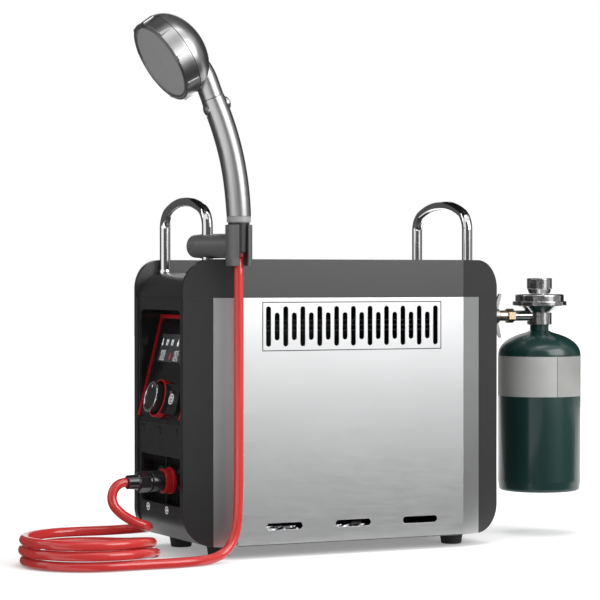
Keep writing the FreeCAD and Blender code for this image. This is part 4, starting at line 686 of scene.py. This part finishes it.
thin_plates("power_stroke", [stroke], BUTTON_CENTRE, TO_RIGHT, SLOPE_UP, BUTTON_LIFT, "power_button",
            icon_white_painted_glow)


# ------------------------------------------------------------------ temperature knob
# Moulded black knob with a polished ring round its face and a white tick, on a spindle
# square to the face plate.  A red ring lies on the plate round it.

knob_black = finish("knob_black", (0.02, 0.019, 0.02), rough=0.28, shade=0.1, grain=600.0, relief=0.00001)
dress(knob_black, "temperature_knob")
dress(red_trim, "dial_ring")
chrome = finish("polished_chrome", (0.80, 0.80, 0.81), rough=0.07, metal=1.0, shade=0.02, smudge=0.02,
                grain=60.0, relief=0.000002)
dress(chrome, "knob_face_ring")
KNOB_FOOT = (-0.18719, 0.002, 0.169)
KNOB_FACE_LIFT = 0.01735
# the tick is white print with a painted glow
tick = bar((0, 0.0098), (0, 0.0132), wide=0.0011)
thin_plates("knob_tick", [tick], KNOB_FOOT, TO_RIGHT, SLOPE_UP, KNOB_FACE_LIFT, "knob", icon_white_painted_glow)


# ------------------------------------------------------------------ port covers
# Three charcoal rubber flaps that hinge over the dry ports below the console.
# The ports' gloss black sockets stand behind them in the end plate.

dress(charcoal, "port_cover_1", "port_cover_2", "port_cover_3")
dress(black_gloss, "port_sockets")


# ------------------------------------------------------------------ water bay
# Gloss black recess low in the end plate, with two nylon ports for cold water in and warm
# water out.  A ring and an arrow under each, printed white, tell them apart.

dress(black_gloss, "water_bay")
nylon_grey = finish("nylon_grey", (0.035, 0.035, 0.037), rough=0.42, shade=0.08, grain=1500.0,
                    relief=0.00002, soft_edge=0.0004)
dress(nylon_grey, "water_ports")
END_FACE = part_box("control_end_panel")[0][0]
END_OUT = (-1, 0, 0)
MARK_HIGH = 0.0490
MARK_LIFT = 0.0002
MARK_STROKE = 0.0008
ARROW_TAIL = 0.0048
ARROW_NECK = 0.0010
ARROW_TIP = 0.0012
BARB_BACK = 0.0008
BARB_RISE = 0.0017
# the rings and arrows are white print with a painted glow
mark_ring = flat_ring(inner=0.0034, outer=0.0042, low=-0.0001, high=MARK_LIFT)
for side, middle_y, way in (("inlet", 0.0337, 1), ("outlet", -0.0192, -1)):
    middle = (END_FACE, middle_y, MARK_HIGH)
    turned(side + "_ring", mark_ring, middle, END_OUT, "casing", icon_white_painted_glow)
    shaft = bar((-ARROW_TAIL * way, 0), (ARROW_NECK * way, 0), MARK_STROKE)
    upper = bar((ARROW_TIP * way, 0), (-BARB_BACK * way, BARB_RISE), MARK_STROKE)
    lower = bar((ARROW_TIP * way, 0), (-BARB_BACK * way, -BARB_RISE), MARK_STROKE)
    thin_plates(side + "_arrow", [shaft, upper, lower], middle, TO_RIGHT, UPRIGHT, MARK_LIFT, "casing",
                icon_white_painted_glow)


# ------------------------------------------------------------------ quick connector
# Black moulded body that plugs on to the outlet port and carries the hose's end.
# A red collar slides back along it to let it go.

connector_black = finish("connector_black", (0.014, 0.014, 0.015), rough=0.14, shade=0.08, smudge=0.03,
                         grain=500.0, relief=0.000006, coat=0.4, soft_edge=0.0004)
dress(connector_black, "quick_connector")
dress(red_trim, "release_collar")


# ------------------------------------------------------------------ handles
# Polished steel tube bent to an inverted U, with a turned foot flange on each leg, one at each
# end of the top cap.  Zinc-plated nuts fix the legs from inside the cap.

dress(chrome, "handle_left", "handle_right")
zinc = finish("zinc_plate", (0.45, 0.45, 0.46), rough=0.32, metal=1.0, shade=0.1, grain=500.0, relief=0.00001)
dress(zinc, "handle_nuts")


# ------------------------------------------------------------------ bracket and cradle
# Moulded grey holder clamped on a handle leg by its knob.  A barrel reaches out from it to
# the cradle, and a saddle closes the step between the two.

holder_grey = finish("holder_grey", (0.110, 0.110, 0.112), rough=0.34, shade=0.06, grain=1800.0,
                     relief=0.000015, ior=1.6, soft_edge=0.0006)
dress(holder_grey, "bracket_body", "bracket_knob", "cradle")
SADDLE_RADIUS = 0.01325
SADDLE_BACK = (-0.1605, -0.0640, 0.3376)
SADDLE_FRONT = (-0.1478, -0.1025, 0.3376)
SADDLE_RINGS = 6
points, faces = tube_along(np.linspace(SADDLE_BACK, SADDLE_FRONT, SADDLE_RINGS), SADDLE_RADIUS, around=48)
saddle = add_piece("barrel_saddle", points, faces, "casing", holder_grey)
saddle.data.set_sharp_from_angle(angle=SHARP_EDGE)


# ------------------------------------------------------------------ hand shower
# Moulded grip and domed head with a face ring, in plastic with dark satin chrome plating.
# The pause button is plated like them, and the spray plate is plain grey.

plating = finish("satin_plating", (0.40, 0.40, 0.405), rough=0.33, metal=1.0, shade=0.03, smudge=0.03,
                 grain=400.0, relief=0.000004, soft_edge=0.0003)
dress(plating, "handset_grip", "handset_head", "face_ring", "pause_button")
spray_grey = finish("spray_grey", (0.27, 0.27, 0.27), rough=0.55, shade=0.02, grain=900.0, relief=0.00001)
dress(spray_grey, "spray_face")


# ------------------------------------------------------------------ rim ribs and seam
# Nine small wedges moulded on the head's rim, plated with it, which taper towards its back.
# A dark seam shows where the two halves of the head meet behind them.

HEAD_CENTRE = np.array((-0.2370, -0.1070, 0.5295))
HEAD_LEAN = math.radians(32)
HEAD_AXIS = np.array((math.cos(HEAD_LEAN), 0, math.sin(HEAD_LEAN)))
HEAD_RADIUS = 0.0464
RIB_COUNT = 9
RIB_START = 20
RIB_HEIGHTS = (0.0012, 0.0158)
RIB_HALF_WIDTHS = (0.0026, 0.0004)
RIB_PROUD = (-0.0004, 0.0007, 0.0007, -0.0004)
RIB_SIDES = (-1, -0.8, 0.8, 1)


def rim_ribs():
    """Ribs round the rim, each a block with two ends of four corners.

    A corner is centre + height * axis + (radius + proud) * radial + side * half width * beside,
    with radial turned to the rib's own angle about the axis and beside square to both.
    """
    a = np.radians(RIB_START + np.arange(RIB_COUNT) * 360 / RIB_COUNT)[:, None]
    level = np.array((0, 1, 0))
    radial = np.cos(a) * level + np.sin(a) * np.cross(HEAD_AXIS, level)
    beside = np.cross(HEAD_AXIS, radial)
    height = np.array(RIB_HEIGHTS)[None, :, None, None]
    reach = HEAD_RADIUS + np.array(RIB_PROUD)[None, None, :, None]
    width = np.multiply.outer(RIB_HALF_WIDTHS, RIB_SIDES)[None, :, :, None]
    points = (HEAD_CENTRE + height * HEAD_AXIS + reach * radial[:, None, None, :]
              + width * beside[:, None, None, :])
    block = np.array(((0, 1, 2, 3), (7, 6, 5, 4), (0, 4, 5, 1), (1, 5, 6, 2), (2, 6, 7, 3), (3, 7, 4, 0)))
    faces = block + 8 * np.arange(RIB_COUNT)[:, None, None]
    return points.reshape(-1, 3), faces.reshape(-1, 4)


add_piece("head_rim_ribs", *rim_ribs(), "shower", plating, smooth=False)
seam_profile = flat_ring(inner=0.0458, outer=0.0466, low=0.0167, high=0.0173)
turned("head_seam", seam_profile, HEAD_CENTRE, HEAD_AXIS, "shower", dark_ink_and_painted_shade)


# ------------------------------------------------------------------ foot collar and hose nut
# The grip ends in a plated collar whose lower part is black, where it seats in the cradle.
# A red nut under it holds the hose.  Its red is darkened as painted shade, for the hose's shadow inside the
# cradle.

COLLAR_STEP = 0.3622
collar_finish = finish("collar_two_tone", (0.30, 0.30, 0.305), rough=0.34, shade=0.05, grain=900.0,
                       relief=0.000006)
tree = collar_finish.node_tree
surface = next(n for n in tree.nodes if n.type == "BSDF_PRINCIPLED")
coords = tree.nodes.new("ShaderNodeTexCoord")
axes = tree.nodes.new("ShaderNodeSeparateXYZ")
above = tree.nodes.new("ShaderNodeMath")
above.operation = "GREATER_THAN"
above.inputs[1].default_value = COLLAR_STEP
tree.links.new(coords.outputs["Object"], axes.inputs[0])
tree.links.new(axes.outputs["Z"], above.inputs[0])
plated, two_tone = colour_mix(tree, above.outputs[0], (0.022, 0.022, 0.023))
tree.links.new(surface.inputs["Base Color"].links[0].from_socket, plated)
tree.links.new(two_tone, surface.inputs["Base Color"])
dress(collar_finish, "handset_collar")
nut_red_painted_shade = finish("nut_red_painted_shade", (0.20, 0.012, 0.012), rough=0.35, shade=0.08, grain=900.0, relief=0.00001)
dress(nut_red_painted_shade, "hose_nut")


# ------------------------------------------------------------------ gas line
# Machined brass inlet fitting through the gas end plate, with a brass union nut and a zinc
# wing nut that is turned by hand.  A nickel-plated tube leads on to the regulator.

brass = finish("brass", (0.66, 0.52, 0.36), rough=0.26, metal=1.0, shade=0.08, grain=700.0, relief=0.00001,
               soft_edge=0.0003)
dress(brass, "gas_inlet_fitting", "union_nut")
wing_zinc = finish("wing_zinc", (0.30, 0.30, 0.30), rough=0.34, metal=1.0, shade=0.08, grain=500.0,
                   relief=0.00001, soft_edge=0.0003)
dress(wing_zinc, "wing_nut")
nickel = finish("nickel_plate", (0.55, 0.55, 0.55), rough=0.16, metal=1.0, shade=0.04, smudge=0.04,
                grain=500.0, relief=0.000006, soft_edge=0.0003)
dress(nickel, "outlet_tube")


# ------------------------------------------------------------------ regulator
# Turned and nickel-plated body with a bonnet and a dial on top, screwed on the cylinder.
# A black rubber seal lies between it and the cylinder's neck.

dress(nickel, "regulator_body", "regulator_bonnet", "regulator_dial")
GAS_AXIS_FOOT = (0.2953, 0, 0)
seal_rubber = finish("seal_rubber", (0.012, 0.012, 0.012), rough=0.5, shade=0.1, grain=900.0, relief=0.00001)
seal_profile = flat_ring(inner=0.0060, outer=0.0125, low=0.2474, high=0.2501)
turned("regulator_seal", seal_profile, GAS_AXIS_FOOT, UPRIGHT, "casing", seal_rubber)


# ------------------------------------------------------------------ propane cylinder
# Drawn steel cylinder in dark green enamel, screwed up into the regulator.  A bare paper
# band goes round it, in a light main field and a darker panel.

green_enamel = finish("green_enamel", (0.006, 0.032, 0.028), rough=0.30, shade=0.05, smudge=0.02,
                      grain=900.0, relief=0.000003, coat=0.3)
dress(green_enamel, "cylinder")
paper = finish("label_paper", (0.37, 0.37, 0.36), rough=0.45, shade=0.10, grain=300.0, relief=0.00001)
paper_dark = finish("label_paper_dark", (0.30, 0.30, 0.29), rough=0.45, shade=0.16, grain=200.0,
                    relief=0.00001)
label_profile = flat_ring(inner=0.0488, outer=0.04912, low=0.1634, high=0.2107)
turned("label_main", label_profile, GAS_AXIS_FOOT, UPRIGHT, "cylinder", paper, around=130,
       toward=(1, 0, 0), start=0, sweep=263.4)
turned("label_panel", label_profile, GAS_AXIS_FOOT, UPRIGHT, "cylinder", paper_dark, around=50,
       toward=(1, 0, 0), start=264.1, sweep=95)


# ------------------------------------------------------------------ burner and chamber
# Folded steel sheet, dulled by heat: the burner, the chamber over it and the flue hood.
# The gas valve beside them is plain steel too.  Their tone is darker still than heat-dulled steel,
# as painted shade for the casing's dark inside, seen through the slots.

steel_in_painted_shade = finish("steel_in_painted_shade", (0.05, 0.05, 0.05), rough=0.55, metal=1.0, shade=0.15, grain=300.0,
                     relief=0.00002)
dress(steel_in_painted_shade, "combustion_chamber", "flue_hood", "burner", "gas_valve")


# ------------------------------------------------------------------ heat exchanger and pipes
# Finned copper exchanger on top of the chamber, with the copper water pipes that feed it and
# the gas pipe between inlet and valve.

copper = finish("copper", (0.72, 0.36, 0.22), rough=0.3, metal=1.0, shade=0.15, grain=300.0, relief=0.00002)
dress(copper, "heat_exchanger", "gas_pipe", "water_pipes")


# ------------------------------------------------------------------ board, battery and pump
# Green circuit board on posts behind the console, a battery pack in blue shrink wrap and the
# nylon body of the water pump, both low in the base.

board_green = finish("board_green", (0.02, 0.12, 0.05), rough=0.3, shade=0.1)
dress(board_green, "control_board")
wrap_blue = finish("wrap_blue", (0.03, 0.06, 0.16), rough=0.3, shade=0.1)
dress(wrap_blue, "battery_pack")
dress(nylon_grey, "water_pump")
